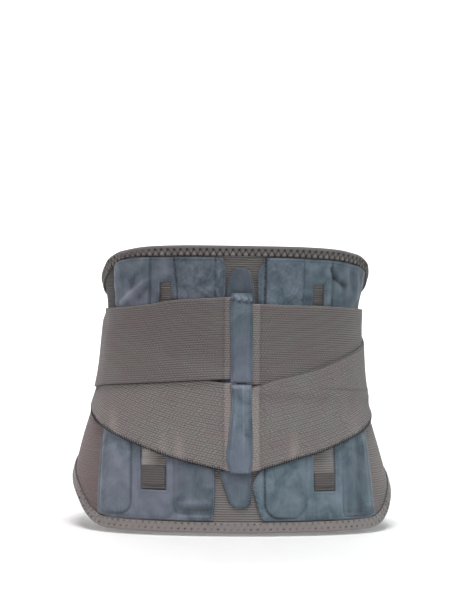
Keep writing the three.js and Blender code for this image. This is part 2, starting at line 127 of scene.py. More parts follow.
halfWidth, backDepth, frontDepth, lean = curves(waist, "z", "halfWidth", "back", "front", "lean")
plainTop, plainBottom = curves(beltEdges, "turn", "top", "bottom")


# oval with a touch of the third harmonic, which flattens its back, front and sides
def skinPoint(angle, z):
    k = waist["squareness"]
    depth = np.where(np.cos(angle) > 0, backDepth(z), frontDepth(z))
    across = np.sin(angle) + k * np.sin(3 * angle)
    forward = np.cos(angle) - k * np.cos(3 * angle)
    x = halfWidth(z) * across / (1 - k) + lean(z) * np.sin(angle) ** 2
    return np.stack([x, -depth * forward / (1 - k), z], -1)


# skin point moved out along the skin's normal, which is across the two tangents
def onWaist(turn, z, lift):
    turn, z, lift = np.broadcast_arrays(turn, z, lift)
    angle = np.radians(turn)
    tangent = skinPoint(angle + 0.001, z) - skinPoint(angle - 0.001, z)
    rise = skinPoint(angle, z + 0.5) - skinPoint(angle, z - 0.5)
    normal = np.cross(tangent, rise)
    normal /= np.linalg.norm(normal, axis=-1, keepdims=True)
    return skinPoint(angle, z) + normal * lift[..., None]


# turn for each millimetre of reach on either side, at even steps of height
walk = {"lowest": -270.0, "highest": 76.0, "rise": 2.0, "farthest": 520, "turns": 241.0, "turnStep": 0.5}
walkHeights = np.arange(walk["lowest"], walk["highest"], walk["rise"])
walkAngles = np.radians(np.arange(0.0, walk["turns"], walk["turnStep"]))


def turnsByReach(side):
    path = skinPoint(side * walkAngles[None, :], np.repeat(walkHeights[:, None], len(walkAngles), 1))
    strides = np.linalg.norm(np.diff(path, axis=1), axis=-1)
    gone = np.concatenate([np.zeros((len(walkHeights), 1)), np.cumsum(strides, 1)], 1)
    reaches = np.arange(0.0, walk["farthest"] + 1)
    return np.stack([np.interp(reaches, row, np.degrees(walkAngles)) for row in gone])


turnTables = np.stack([turnsByReach(-1), turnsByReach(1)])


# straight-line lookup in those tables, both ways
def turnAt(reach, z):
    reach, z = np.broadcast_arrays(np.asarray(reach, float), np.asarray(z, float))
    r = np.clip(np.abs(reach), 0, walk["farthest"] - 1)
    h = np.clip((z - walk["lowest"]) / walk["rise"], 0, len(walkHeights) - 1.001)
    i, j, k = r.astype(int), h.astype(int), (reach > 0).astype(int)
    low = mix(turnTables[k, j, i], turnTables[k, j, i + 1], r - i)
    high = mix(turnTables[k, j + 1, i], turnTables[k, j + 1, i + 1], r - i)
    return np.sign(reach) * mix(low, high, h - j)


def wingClimb(turn):
    return np.where(turn < 0, front["climb"] * smooth(-turn, front["climbFrom"], front["climbTo"]), 0)


def wrap(reach, z, lift):
    turn = turnAt(reach, z)
    return onWaist(turn, z, lift + wingClimb(turn))


# quarter rounds at the wing ends take this much off the belt's height
def cornerDrop(turn, end):
    past = np.clip((np.abs(turn) - (end - front["cornerTurn"])) / front["cornerTurn"], 0, 1)
    return front["cornerDrop"] * (1 - np.sqrt(1 - past**2))


def cornerTurns(end, step):
    return end - front["cornerTurn"] * (1 - np.sin(np.radians(np.arange(0, 91, step))))


def topEdge(turn, end=front["end"]):
    return plainTop(np.abs(turn)) - cornerDrop(turn, end)


def bottomEdge(turn, end=front["end"]):
    return plainBottom(np.abs(turn)) + cornerDrop(turn, end)


# meshes
meshing = {"merge": 2e-6, "sharp": 62}  # metres between points that are one, degrees at a crease
threadShape = {"along": [0.0, 0.12, 0.5, 0.88, 1.0], "girth": [0.25, 0.85, 1.0, 0.85, 0.25], "sides": 6}


def makePiece(name, points, faces, uv, material, shade=None, merge=False):
    fans = [np.stack([f[:, 0], f[:, k], f[:, k + 1]], 1) for f in faces for k in range(1, f.shape[1] - 1)]
    a, b, c = points[np.concatenate(fans)].transpose(1, 0, 2)
    if np.einsum("ij,ij->", a, np.cross(b, c)) < 0:  # signed volume: turn the faces outwards
        faces = [f[:, ::-1] for f in faces]
    sizes = np.concatenate([np.full(len(f), f.shape[1]) for f in faces])
    loops = np.concatenate([f.ravel() for f in faces]).astype(np.int32)
    mesh = bpy.data.meshes.new(name)
    mesh.vertices.add(len(points))
    mesh.vertices.foreach_set("co", (points * mm).astype(np.float32).ravel())
    mesh.loops.add(len(loops))
    mesh.loops.foreach_set("vertex_index", loops)
    mesh.polygons.add(len(sizes))
    mesh.polygons.foreach_set("loop_start", np.concatenate([[0], np.cumsum(sizes)[:-1]]).astype(np.int32))
    mesh.polygons.foreach_set("use_smooth", np.ones(len(sizes), bool))
    mesh.uv_layers.new(name="cloth").data.foreach_set("uv", (uv[loops] * mm).astype(np.float32).ravel())
    values = np.zeros(len(points)) if shade is None else shade
    tones = mesh.attributes.new("shade", "FLOAT", "POINT").data
    tones.foreach_set("value", values.astype(np.float32).ravel())
    mesh.update()
    if merge:
        work = bmesh.new()
        work.from_mesh(mesh)
        bmesh.ops.remove_doubles(work, verts=work.verts, dist=meshing["merge"])
        work.to_mesh(mesh)
        work.free()
    mesh.validate()
    mesh.set_sharp_from_angle(angle=math.radians(meshing["sharp"]))
    mesh.materials.append(material)
    piece = bpy.data.objects.new(name, mesh)
    bpy.context.scene.collection.objects.link(piece)
    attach(piece, "root")
    return piece


# closed cloth from two grids: the outside, the inside at every step-th row, and a rim round both;
# keep marks the cells that stay where windows are cut out
def clothPiece(name, outside, inside, uv, material, shade=0.0, keep=None, step=1, merge=False):
    n, m = outside.shape[:2]
    within = inside[:, ::step]
    rows = within.shape[1]
    points = np.concatenate([outside.reshape(-1, 3), within.reshape(-1, 3)])
    uvAll = np.concatenate([uv.reshape(-1, 2), uv[:, ::step].reshape(-1, 2)])
    shadeAll = np.concatenate([np.broadcast_to(shade, (n, m)).ravel(), np.zeros(n * rows)])
    out = np.arange(n * m).reshape(n, m)
    back = n * m + np.arange(n * rows).reshape(n, rows)

    def quads(grid, cells):
        i, j = np.nonzero(cells)
        return np.stack([grid[i, j], grid[i + 1, j], grid[i + 1, j + 1], grid[i, j + 1]], 1)

    if step == 1:
        kept = np.ones((n - 1, m - 1), bool) if keep is None else keep
        faces = [quads(out, kept), quads(back, kept)[:, ::-1]]
        padded = np.pad(kept, 1)
        corners = ((0, 0), (1, 0), (1, 1), (0, 1))
        # a cell's four sides run from corner to corner, each with the neighbour beyond it
        for side, (di, dj) in enumerate(((0, -1), (1, 0), (0, 1), (-1, 0))):
            i, j = np.nonzero(kept & ~padded[1 + di : n + di, 1 + dj : m + dj])
            p, q = ((i + a, j + b) for a, b in (corners[side], corners[(side + 1) % 4]))
            faces.append(np.stack([out[q], out[p], back[p], back[q]], 1))
    else:
        faces = [quads(out, np.ones((n - 1, m - 1), bool))]
        faces.append(quads(back, np.ones((n - 1, rows - 1), bool))[:, ::-1])
        faces.append(np.stack([out[1:, 0], out[:-1, 0], back[:-1, 0], back[1:, 0]], 1))
        faces.append(np.stack([out[:-1, -1], out[1:, -1], back[1:, -1], back[:-1, -1]], 1))
        spans = np.arange(rows - 1)[:, None] * step + np.arange(step + 1)[None, :]
        faces.append(np.concatenate([out[-1][spans[:, ::-1]], back[-1][:-1, None], back[-1][1:, None]], 1))
        faces.append(np.concatenate([out[0][spans], back[0][1:, None], back[0][:-1, None]], 1))
    return makePiece(name, points, faces, uvAll, material, shadeAll, merge)


# short threads: each runs from start to end, arched off the cloth, round in section and pointed at its ends
def threadPiece(name, start, end, normal, radius, arch, material):
    along, girth = np.array(threadShape["along"]), np.array(threadShape["girth"]) * radius
    sides = threadShape["sides"]
    around = np.radians(np.arange(sides) * (360 / sides))
    run = end - start
    length = np.linalg.norm(run, axis=1, keepdims=True)
    across = np.cross(normal, run / length)
    centre = start[:, None] + run[:, None] * along[None, :, None]
    centre += normal[:, None] * (arch * np.sin(np.pi * along))[None, :, None]
    ring = np.cos(around)[:, None] * normal[:, None, None] + np.sin(around)[:, None] * across[:, None, None]
    points = centre[:, :, None] + ring * girth[None, :, None, None]
    index = np.arange(len(start) * len(along) * sides).reshape(len(start), len(along), sides)
    turned = np.roll(index, -1, axis=2)
    walls = np.stack([index[:, :-1], turned[:, :-1], turned[:, 1:], index[:, 1:]], -1).reshape(-1, 4)
    caps = np.concatenate([index[:, 0, ::-1], index[:, -1]])
    reached = along[None, :, None] * length[:, :, None]
    uv = np.stack(np.broadcast_arrays(reached, np.arange(float(sides))[None, None, :]), -1)
    return makePiece(name, points.reshape(-1, 3), [walls, caps], uv.reshape(-1, 2), material)


def declareSheet(nodes):
    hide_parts(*nodes)


# materials
surfaceKeys = ("Roughness", "Sheen Weight", "Sheen Roughness", "Specular IOR Level")


def linear(code):
    parts = [int(code[k : k + 2], 16) / 255 for k in (1, 3, 5)]
    return [p / 12.92 if p <= 0.04045 else ((p + 0.055) / 1.055) ** 2.4 for p in parts] + [1.0]


# a node with its settings; inputs are given in order or by key, as links or as values
def addNode(tree, kind, inputs=(), out=0, **settings):
    node = tree.nodes.new("ShaderNode" + kind)
    for key, value in settings.items():
        setattr(node, key, value)
    for key, value in (inputs if isinstance(inputs, dict) else dict(enumerate(inputs))).items():
        if isinstance(value, bpy.types.NodeSocket):
            tree.links.new(value, node.inputs[key])
        else:
            node.inputs[key].default_value = value
    return node.outputs[out]


def newMaterial(name, surface):
    material = bpy.data.materials.new(name)
    material.use_nodes = True
    inputs = material.node_tree.nodes["Principled BSDF"].inputs
    for key, value in zip(surfaceKeys, surface):
        inputs[key].default_value = value
    return material, functools.partial(addNode, material.node_tree)


# the piece's own cloth coordinates, along it and up it
def clothPlace(add):
    return add("SeparateXYZ", [add("UVMap", uv_map="cloth")]).node.outputs


# cloth colour with painted shade where the piece's shade is above 0 (seams, needle holes, hollows) and
# painted light below 0 (folds)
def shadedColour(add, colour, look):
    shade = add("Attribute", out="Fac", attribute_name="shade")
    # fold is the share of painted light and seam the share of painted shade, wherever either falls
    fold = add("Math", [shade, -1.0], operation="MULTIPLY", use_clamp=True)
    seam = add("Math", [shade, 1.0], operation="MULTIPLY", use_clamp=True)
    lighter = add("Mix", {0: fold, 6: colour, 7: linear(look["pale"])}, 2, data_type="RGBA")
    return add("Mix", {0: seam, 6: lighter, 7: linear(look["deep"])}, 2, data_type="RGBA")


# colour and relief go to the surface
def dress(material, add, colour, height, look):
    strength, depth = look["bump"]
    relief = add("Bump", {"Strength": strength, "Distance": depth * mm, "Height": height})
    inputs = material.node_tree.nodes["Principled BSDF"].inputs
    material.node_tree.links.new(colour, inputs["Base Color"])
    material.node_tree.links.new(relief, inputs["Normal"])
    return material


# woven cloth: two yarn colours in soft blotches, darker by an amount in its grooves as painted shade, with
# random specks
def wovenColour(add, body, dark, speck, look):
    cloud = {"Vector": body, "Scale": 1000 / look["blotch"], "Detail": 3.0, "Roughness": look["blotchRough"]}
    toned = add("MapRange", [add("TexNoise", cloud), *look["blotchRange"]])
    base = add("Mix", {0: toned, 6: linear(look["cool"]), 7: linear(look["warm"])}, 2, data_type="RGBA")
    amount = add("Math", [dark, speck], operation="ADD", use_clamp=True)
    woven = add("Mix", {0: amount, 6: base, 7: linear(look["groove"])}, 2, data_type="RGBA")
    return shadedColour(add, woven, look)


# nylon and rubber elastic, woven with ribs: matt, with painted shade in the grooves and between small
# staggered thread bumps
def wovenElastic(name, look):
    material, add = newMaterial(name, look["surface"])
    place, body = clothPlace(add), add("TexCoord", out="Object")
    rib = add("Math", [place[1], 1000 / look["ribPitch"]], operation="MULTIPLY")
    drift = add("TexNoise", {"Vector": body, "Scale": 1000 / look["drift"], "Detail": 1.0})
    shift = add("Math", [drift, look["driftBy"]], operation="MULTIPLY")
    thread = add("Math", [place[0], 1000 / look["threadPitch"], shift], operation="MULTIPLY_ADD")
    slant = add("Math", [thread, 0.5], operation="PINGPONG")
    bent = add("Math", [slant, look["slant"], rib], operation="MULTIPLY_ADD")
    wave = add("Math", [bent, 0.5], operation="PINGPONG")
    edges = [wave, 0.0, look["grooveWide"], look["grooveDepth"], 0.0]
    groove = add("MapRange", edges, interpolation_type="SMOOTHSTEP")
    row = add("Math", [bent], operation="FLOOR")
    stagger = add("Math", [row, 0.5, thread], operation="MULTIPLY_ADD")  # every other row is half a thread on
    bead = add("Math", [stagger, 0.5], operation="PINGPONG")
    fibre = add("TexNoise", {"Vector": body, "Scale": 1000 / look["fibre"], "Detail": 2.0})
    beaded = add("MapRange", [bead, 0.0, 0.5, look["beadDepth"], 0.0])
    # painted shade in the grooves and between the thread bumps
    dark = add("Math", [groove, beaded], operation="MAXIMUM")
    speck = add("Math", [fibre, look["speck"], -look["speck"] / 2], operation="MULTIPLY_ADD")
    grain = add("Math", [bead, look["beadHeight"], fibre], operation="MULTIPLY_ADD")
    return dress(material, add, wovenColour(add, body, dark, speck, look), grain, look)


# brushed microfibre suede: a soft nap laid down in streaks and patches, with a pale sheen at grazing angles
def brushedSuede(name, look):
    material, add = newMaterial(name, look["surface"])
    body = add("TexCoord", out="Object")
    stretch = [1000 / look[key] for key in ("streakWide", "streakWide", "streakLong")]
    lain = add("Mapping", {"Vector": body, "Scale": stretch})
    streak = add("TexNoise", {"Vector": lain, "Scale": 1.0, "Detail": 3.0, "Roughness": 0.6})
    cloud = {"Scale": 1000 / look["patch"], "Detail": 4.0, "Roughness": 0.6, "Distortion": 0.6}
    patch = add("TexNoise", {"Vector": body, **cloud})
    nap = add("TexNoise", {"Vector": body, "Scale": 1000 / look["nap"], "Detail": 2.0})
    streaky = add("Math", [streak, look["streakShare"]], operation="MULTIPLY")
    both = add("Math", [patch, 1 - look["streakShare"], streaky], operation="MULTIPLY_ADD")
    tone = add("MapRange", [both, *look["toneRange"]])
    speck = add("Math", [nap, look["speck"], -look["speck"] / 2], operation="MULTIPLY_ADD")
    amount = add("Math", [tone, speck], operation="ADD", use_clamp=True)
    base = add("Mix", {0: amount, 6: linear(look["laid"]), 7: linear(look["raised"])}, 2, data_type="RGBA")
    violet = add("TexNoise", {"Vector": body, "Scale": 1000 / look["tint"], "Detail": 1.0})
    tinting = add("MapRange", [violet, *look["tintRange"], 0.0, look["tintShare"]])
    tinted = add("Mix", {0: tinting, 6: base, 7: linear(look["violet"])}, 2, data_type="RGBA")
    pile = add("Math", [streak, look["streakHeight"], nap], operation="MULTIPLY_ADD")
    return dress(material, add, shadedColour(add, tinted, look), pile, look)


# folded nylon tape: fine ribs across it with painted shade in their grooves, a little lint, matt
def foldedTape(name, look):
    material, add = newMaterial(name, look["surface"])
    place, body = clothPlace(add), add("TexCoord", out="Object")
    rib = add("Math", [place[0], 1000 / look["ribPitch"]], operation="MULTIPLY")
    wave = add("Math", [rib, 0.5], operation="PINGPONG")
    lint = add("TexNoise", {"Vector": body, "Scale": 1000 / look["lint"], "Detail": 2.0})
    # painted shade in the rib grooves
    dark = add("MapRange", [wave, 0.0, look["grooveWide"], look["grooveDepth"], 0.0])
    speck = add("Math", [lint, *look["lintRange"]], operation="MULTIPLY_ADD", use_clamp=True)
    grain = add("Math", [wave, lint], operation="ADD")
    return dress(material, add, wovenColour(add, body, dark, speck, look), grain, look)


# spun polyester sewing thread: two plies twisted round each other, darker between them as painted shade, with
# a faint gloss
def twistedThread(name, look):
    material, add = newMaterial(name, look["surface"])
    place = clothPlace(add)
    run = add("Math", [place[0], 1000 / look["twist"]], operation="MULTIPLY")
    turned = add("Math", [place[1], 1000 / threadShape["sides"], run], operation="MULTIPLY_ADD")
    ply = add("Math", [turned, 0.5], operation="PINGPONG")
    share = add("MapRange", [ply, *look["plyRange"]])
    colour = add("Mix", {0: share, 6: linear(look["dark"]), 7: linear(look["light"])}, 2, data_type="RGBA")
    return dress(material, add, colour, ply, look)


# surface: roughness, sheen, the sheen's roughness and specular level; bump: strength and depth
# deep and pale: the colours of painted shade and painted light; groove: painted shade in the weave, also
# random specks
elasticLook = {
    "surface": (0.9, 0.12, 0.6, 0.25), "bump": (0.45, 0.3), "ribPitch": 2.4, "threadPitch": 3.3, "slant": 0.6,
    "drift": 11, "driftBy": 3.0, "blotch": 26, "blotchRough": 0.55, "blotchRange": (0.3, 0.7), "fibre": 0.7,
    "speck": 0.24, "grooveWide": 0.3, "grooveDepth": 0.9, "beadDepth": 0.5, "beadHeight": 1.2,
    "cool": "#908e8b", "warm": "#928687", "groove": "#3e3b39", "deep": "#1d1b1c", "pale": "#b0a69f",
}
upperLook = dict(elasticLook, threadPitch=2.5, slant=0.25, grooveDepth=1.0, beadDepth=0.55)
wallLook = dict(elasticLook, threadPitch=1.4, slant=0.0, grooveDepth=1.0, beadDepth=0.34)
wallLook.update(cool="#8a8785", warm="#8a8281", pale="#a5a3a0")
wingLook = dict(elasticLook, threadPitch=2.1, slant=0.5, beadDepth=0.45, cool="#8a8784", warm="#8c8080")
darkLook = dict(wallLook, cool="#5e5d5e", warm="#625b59", groove="#343233", deep="#171617", pale="#79736f")
suedeLook = {
    "surface": (0.95, 0.3, 0.45, 0.25), "bump": (0.4, 0.4), "streakWide": 2.2, "streakLong": 20,
    "streakShare": 0.22, "streakHeight": 0.8, "patch": 24, "toneRange": (0.33, 0.67),
    "nap": 0.9, "speck": 0.5, "tint": 48, "tintRange": (0.42, 0.62), "tintShare": 0.5,
    "laid": "#48545f", "raised": "#76838e", "violet": "#6a6e7e", "deep": "#1c2026", "pale": "#9aa5b0",
}
leftSuedeLook = dict(suedeLook, laid="#48525d", raised="#747d88", violet="#6f7080")
rightSuedeLook = dict(suedeLook, laid="#45545e", raised="#74848d", violet="#666f7d")
tapeLook = {
    "surface": (0.92, 0.15, 0.6, 0.25), "bump": (0.4, 0.3), "ribPitch": 1.4, "grooveWide": 0.25,
    "grooveDepth": 0.35, "blotch": 18, "blotchRough": 0.5, "blotchRange": (0.3, 0.7), "lint": 0.8,
    "lintRange": (0.4, -0.12),
    "cool": "#7c7978", "warm": "#817978", "groove": "#4a4646", "deep": "#141112", "pale": "#a8a2a0",
}
hookLook = dict(tapeLook, cool="#54514f", warm="#585150", groove="#363331", ribPitch=1.8, blotch=14)
threadLook = {"surface": (0.7, 0.1, 0.5, 0.25), "bump": (0.4, 0.2), "twist": 1.1, "plyRange": (0.05, 0.45)}

elastic = wovenElastic("wovenRibbedElastic", elasticLook)
upperElastic = wovenElastic("wovenRibbedElasticUpper", upperLook)
wallElastic = wovenElastic("wovenRibbedElasticWall", wallLook)
wingElastic = wovenElastic("wovenRibbedElasticWing", wingLook)
# the left wing's pale colour is a dark warm red: painted warm light on its lower part, painted shade on its
# top
leftWingPaintedElastic = wovenElastic("paintedLightAndShadeWovenRibbedElasticWing", dict(wingLook, pale="#5f4c4d"))
darkElastic = wovenElastic("darkWovenRibbedElastic", darkLook)
suede = brushedSuede("brushedMicrofibreSuede", suedeLook)
leftSuede = brushedSuede("brushedMicrofibreSuedeViolet", leftSuedeLook)
rightSuede = brushedSuede("brushedMicrofibreSuedeTeal", rightSuedeLook)
tape = foldedTape("foldedNylonTape", tapeLook)
hookTape = foldedTape("wovenHookTape", hookLook)
thread = twistedThread("spunPolyesterThread", dict(threadLook, dark="#756f6c", light="#9b9592"))
# a shaded copy of the thread for the zigzag along the top: painted shade
shadedThread = twistedThread("paintedShadeSpunPolyesterThread", dict(threadLook, dark="#3f3b39", light="#66605d"))
# near black: real overlock thread that also stands in as painted shadow under the lower straps' edges
darkThread = twistedThread("darkSpunPolyesterThread", dict(threadLook, dark="#16171a", light="#34363b"))
paleThread = twistedThread("paleSpunPolyesterThread", dict(threadLook, dark="#878583", light="#acaaa7"))
suedeThread = twistedThread("blueSpunPolyesterThread", dict(threadLook, dark="#3f4852", light="#67727d"))
print("materials made")

# rows across ribbed webbing: five places on each ridge, and how high the ridge stands there
ribRows = {"place": np.array([0, 0.16, 0.36, 0.64, 0.84]), "height": np.array([0, 0.65, 1, 1, 0.65])}

# elastic back and wings
elasticWall = {
    "ribPitch": 2.4, "ribHeight": 0.45, "ribs": 130, "lowest": -248, "inset": 1.9, "insideStep": 26,
    "seam": 48, "seamGap": 0.15, "wingFrom": 51.0, "wingEnd": 198.7, "turnStep": 3.0, "cornerStep": 10,
    "clothTurn": 2.45, "backTurn": 2.15,  # millimetres in a degree of turn, for the weave and at the back
    # sideTone is the shade at the front; painted shade in the hollows, painted light in the left and right
    # lower windows
    "sideTone": 0.1, "hollowPaintedShade": 0.22, "windowPaintedLight": (1.2, 0.7),
}


# painted shade, darker towards the top and in the hollows of the panels; painted light, paler in the lower
# windows
def elasticShade(turn, z, tone, topPaintedShade):
    side = np.abs(turn)
    reach = side * elasticWall["backTurn"]
    atBack = fade(side, elasticWall["seam"] - 2, elasticWall["seam"])
    lowerWindow = smooth(reach, 60, 70) * fade(reach, 108, 118) * fade(z, -140, -120) * atBack
    aboveTab = mix(0.6, 1.0, smooth(z, -180, -160))
    upperWindow, besidePad = bell(reach, 80, 12), bell(reach, 17, 6) * fade(z, 16, 28)
    # painted shade in the hollows: at the upper windows and beside the pad's head
    hollow = atBack * (upperWindow + besidePad) * smooth(z, -40, -20)
    # painted shade overall and more towards the top, fading to the side tone at the front
    plain = mix(tone + topPaintedShade * smooth(z, -45, -8), elasticWall["sideTone"], smooth(side, 84, 120))
    # painted light in the lower windows, against the shadow of the strap above
    pale = np.where(turn < 0, *elasticWall["windowPaintedLight"]) * lowerWindow * aboveTab
    return plain + elasticWall["hollowPaintedShade"] * hollow - pale


# horizontal ribs: every pitch of height is one rounded ridge, and the rows end at the belt's two edges
def elasticPiece(name, turns, end, material, tone, topPaintedShade):
    lowest, pitch, count = elasticWall["lowest"], elasticWall["ribPitch"], elasticWall["ribs"]
    heights = lowest + np.append((np.arange(count)[:, None] + ribRows["place"]).ravel(), count) * pitch
    low = bottomEdge(turns, end) + elasticWall["inset"]
    high = topEdge(turns, end) - elasticWall["inset"]
    z = np.clip(heights[None, :], low[:, None], high[:, None])
    turn = np.repeat(turns[:, None], len(heights), 1)
    places, ridges = np.append(ribRows["place"], 1), np.append(ribRows["height"], 0)
    ridge = np.interp((z - lowest) / pitch % 1, places, ridges)
    lift = layers["elastic"] - elasticWall["ribHeight"] * (1 - ridge)
    outside = onWaist(turn, z, lift + wingClimb(turn))
    inside = onWaist(turn, z, wingClimb(turn))
    uv = np.stack([turn * elasticWall["clothTurn"], z - lowest], -1)
    shade = elasticShade(turn, z, tone, topPaintedShade)
    step = elasticWall["insideStep"]
    return clothPiece(name, outside, inside, uv, material, shade, step=step, merge=True)


seam, wingEnd, turnStep = (elasticWall[key] for key in ("seam", "wingEnd", "turnStep"))
backTurns = np.arange(-seam, seam + 0.1, turnStep)
wingTurns = np.arange(elasticWall["wingFrom"], wingEnd - front["cornerTurn"], turnStep)
wingCorner = cornerTurns(wingEnd, elasticWall["cornerStep"])
wingTurns = np.concatenate([[seam + elasticWall["seamGap"]], wingTurns, wingCorner])
# the last two numbers are painted shade, overall and towards the top; below 0 on the left wing they paint
# warm light
backPanel = elasticPiece("backElastic", backTurns, front["end"], wallElastic, 0.04, 0.26)
wingRight = elasticPiece("wingElasticRight", wingTurns, wingEnd, wingElastic, 0.12, 0.35)
wingLeft = elasticPiece("wingElasticLeft", -wingTurns[::-1], wingEnd, leftWingPaintedElastic, -0.6, 1.45)
declareSheet(["back_panel"])
declareSheet(["wing_right"])
declareSheet(["wing_left"])
print("elastic walls made")

# binding tape
binding = {
    "width": 11, "gap": 0.7, "leg": 1.2, "legEnd": 2.3, "legRows": 17, "innerWall": 1.4,
    "innerRows": (2.4, 5.5, 9), "rollTurn": 62, "rollRows": 8, "rollDepth": 2.736, "rollFrom": 0.02,
    "crown": 0.35, "crownAt": 2.6, "zigzagPitch": 6.8, "zigzagFrom": 4.2, "zigzagTo": 9.3, "zigzagLean": 0.55,
    "threadWide": 0.3, "threadArch": 0.15, "groove": 0.4, "puff": 0.45, "hem": 0.5,
    "gather": 0.35, "gatherPitch": 4.6, "gatherTurn": 64, "gatherWide": 10, "gatherLean": 0.4,
    "cornerHole": 1.9, "tightHole": 2.0,
}
# painted shading: paler along the bottom, darker along the top, at corners, hem, zigzag and needle holes;
# painted highlight on the puffs; sewn also scales the relief
bindingTone = {  # values along the bottom and along the top
    "plain": (-0.18, 0.36), "right": (0.25, 0.05), "left": (0.25, -0.2), "hem": (0.2, 0.7),
    "sewn": (0.4, 1.0), "hole": (1.0, 1.15), "uneven": (0.45, 0.0), "seam": (0.0, 0.3), "puff": (0.12, 0.5),
}
topTape = {  # width along the top: the tape is drawn tight round the corner on the left
    "turn": [-62, -56, -50, -43, -35, -24],
    "width": [11, 9.6, 8.3, 8.9, 10, 11],
}
outline = {"fineStep": 0.25, "fineTo": 100, "step": 1.0, "cornerStep": 6, "endRows": 48}
topTapeWidth = through(topTape, "turn", "width")


# closed run round the belt: along the top, down the right end, back along the bottom and up the left end
def beltOutline():
    corner = cornerTurns(front["end"], outline["cornerStep"])
    fine = np.arange(0, outline["fineTo"], outline["fineStep"])
    half = np.concatenate([fine, np.arange(outline["fineTo"], corner[0] - 0.3, outline["step"]), corner])
    across = np.concatenate([-half[:0:-1], half])
    ends = np.linspace(topEdge(half[-1]), bottomEdge(half[-1]), outline["endRows"])[1:-1]
    turn = np.concatenate([across, np.full(len(ends), half[-1]), across[::-1], np.full(len(ends), -half[-1])])
    return turn, np.concatenate([topEdge(across), ends, bottomEdge(across[::-1]), ends[::-1]])


runTurn, runZ = beltOutline()
runDegree = skinPoint(np.radians(runTurn + 0.5), runZ) - skinPoint(np.radians(runTurn - 0.5), runZ)
runScale = np.linalg.norm(runDegree, axis=1)  # millimetres in a degree of turn
runAhead, runRise = (np.roll(run, -1) - np.roll(run, 1) for run in (runTurn, runZ))
runStep = np.stack([runAhead * runScale, runRise], 1)
runAlong = runStep / np.linalg.norm(runStep, axis=1, keepdims=True)
runGone = np.concatenate([[0], np.cumsum(np.diff(runTurn) * runScale[:-1])])
runLength = walked(runGone, runZ)
runShare = np.where(runZ > 0, topTapeWidth(runTurn) / binding["width"], 1)  # of the tape's full width


# a place on the tape: so far in from the edge, square to it, and so far off the skin
def onBinding(ring, inset, lift):
    inset = inset * runShare[ring]
    turn = runTurn[ring] + runAlong[ring, 1] * inset / runScale[ring]
    return onWaist(turn, runZ[ring] - runAlong[ring, 0] * inset, lift + wingClimb(runTurn[ring]))


# distance in from the edge of the zigzag seam at a length along the tape, as a triangle wave
def zigzagInset(length):
    phase = np.abs((length / binding["zigzagPitch"]) % 1 * 2 - 1)
    return mix(binding["zigzagFrom"], binding["zigzagTo"], phase)


# section of the tape as insets and lifts: the outer leg, a round roll over the edge and a plain inner leg
def bindingSection():
    wide, wall = binding["width"], binding["innerWall"]
    low, middle = -binding["gap"], layers["elastic"] / 2
    high = layers["elastic"] + binding["gap"]
    foot, head = low - binding["leg"], high + binding["leg"]
    leg = np.linspace(wide, binding["legEnd"], binding["legRows"])
    angle = np.radians(np.linspace(binding["rollTurn"], -binding["rollTurn"], binding["rollRows"]))
    roll = binding["rollDepth"] * (1 - np.cos(angle)) + binding["rollFrom"]
    rollLift = middle + (head - middle) * np.sin(angle) / np.sin(np.radians(binding["rollTurn"]))
    inner = [(inset, foot) for inset in (*binding["innerRows"], wide)]
    inner += [(wide, low), (wall, low), (wall, high), (wide, high)]
    innerInset, innerLift = np.array(inner).T
    lift = np.concatenate([np.full(len(leg), head), rollLift, innerLift])
    return np.concatenate([leg, roll, innerInset]), lift


# relief and painted shading of the outer leg: a crown, the sunk zigzag with puffs beside it, needle holes and
# a hem
def bindingFace(insets):
    length, step = runLength[:, None], binding["zigzagPitch"]
    line, count = zigzagInset(length), np.floor(length / step)
    off = np.abs(insets - line) * binding["zigzagLean"]  # the line leans: distance square to it
    atTop = smooth(runZ, -40, 20)[:, None]
    tone = {key: mix(*ends, atTop) for key, ends in bindingTone.items()}
    tight = atTop * fade(runShare, 0.75, 0.95)[:, None]
    corner = bell(np.abs(runTurn), binding["gatherTurn"], binding["gatherWide"])[:, None]
    crown = np.clip(1 - ((insets - binding["crownAt"]) / binding["crownAt"]) ** 2, 0, 1)
    puff = smooth(off, 0.4, 2.0) * smooth(insets, 3.8, 5.6) * fade(insets, 9.6, 11)
    pucker = np.sin(2 * np.pi * length / binding["gatherPitch"] + binding["gatherLean"] * insets)
    relief = binding["crown"] * crown - binding["hem"] * smooth(insets, 10.2, 11)
    relief = relief + tone["sewn"] * (binding["puff"] * puff - binding["groove"] * bell(off, 0, 0.6))
    relief = relief + binding["gather"] * corner * pucker
    outerHole = np.hypot((length / step % 1 - 0.5) * step, insets - binding["zigzagFrom"])
    innerHole = np.hypot(((length / step + 0.5) % 1 - 0.5) * step, insets - binding["zigzagTo"])
    nearest = np.minimum(outerHole + binding["tightHole"] * tight, innerHole)
    holes = bell(nearest, 0, mix(tone["hole"], binding["cornerHole"], corner * tone["sewn"]))
    holes = holes * (1 + tone["uneven"] * wander(count, 1.9, 2, 0.7))
    between = smooth(insets, 4.0, 5.2) * fade(insets, 9.2, 10.2)
    puffed = np.where(insets > line, (0.66 + 0.34 * wander(count, 2.4, 1.3, 0.9)) * (1 - 0.5 * corner), 0.15)
    pale = (1 - 0.7 * tight) * between * smooth(off, 0.3, 1.1) * puffed
    # painted shade in the needle holes, along the zigzag and at the hem; painted highlight on the puffs
    marks = holes + tone["seam"] * between * bell(off, 0, 0.55) - tone["puff"] * pale
    marks = marks + tone["hem"] * smooth(insets, 10.3, 11)
    # painted shade darker towards the top, paler along the bottom, and changed at the corners
    plain = tone["plain"] + corner * np.where(runTurn[:, None] > 0, tone["right"], tone["left"])
    return relief, marks, plain


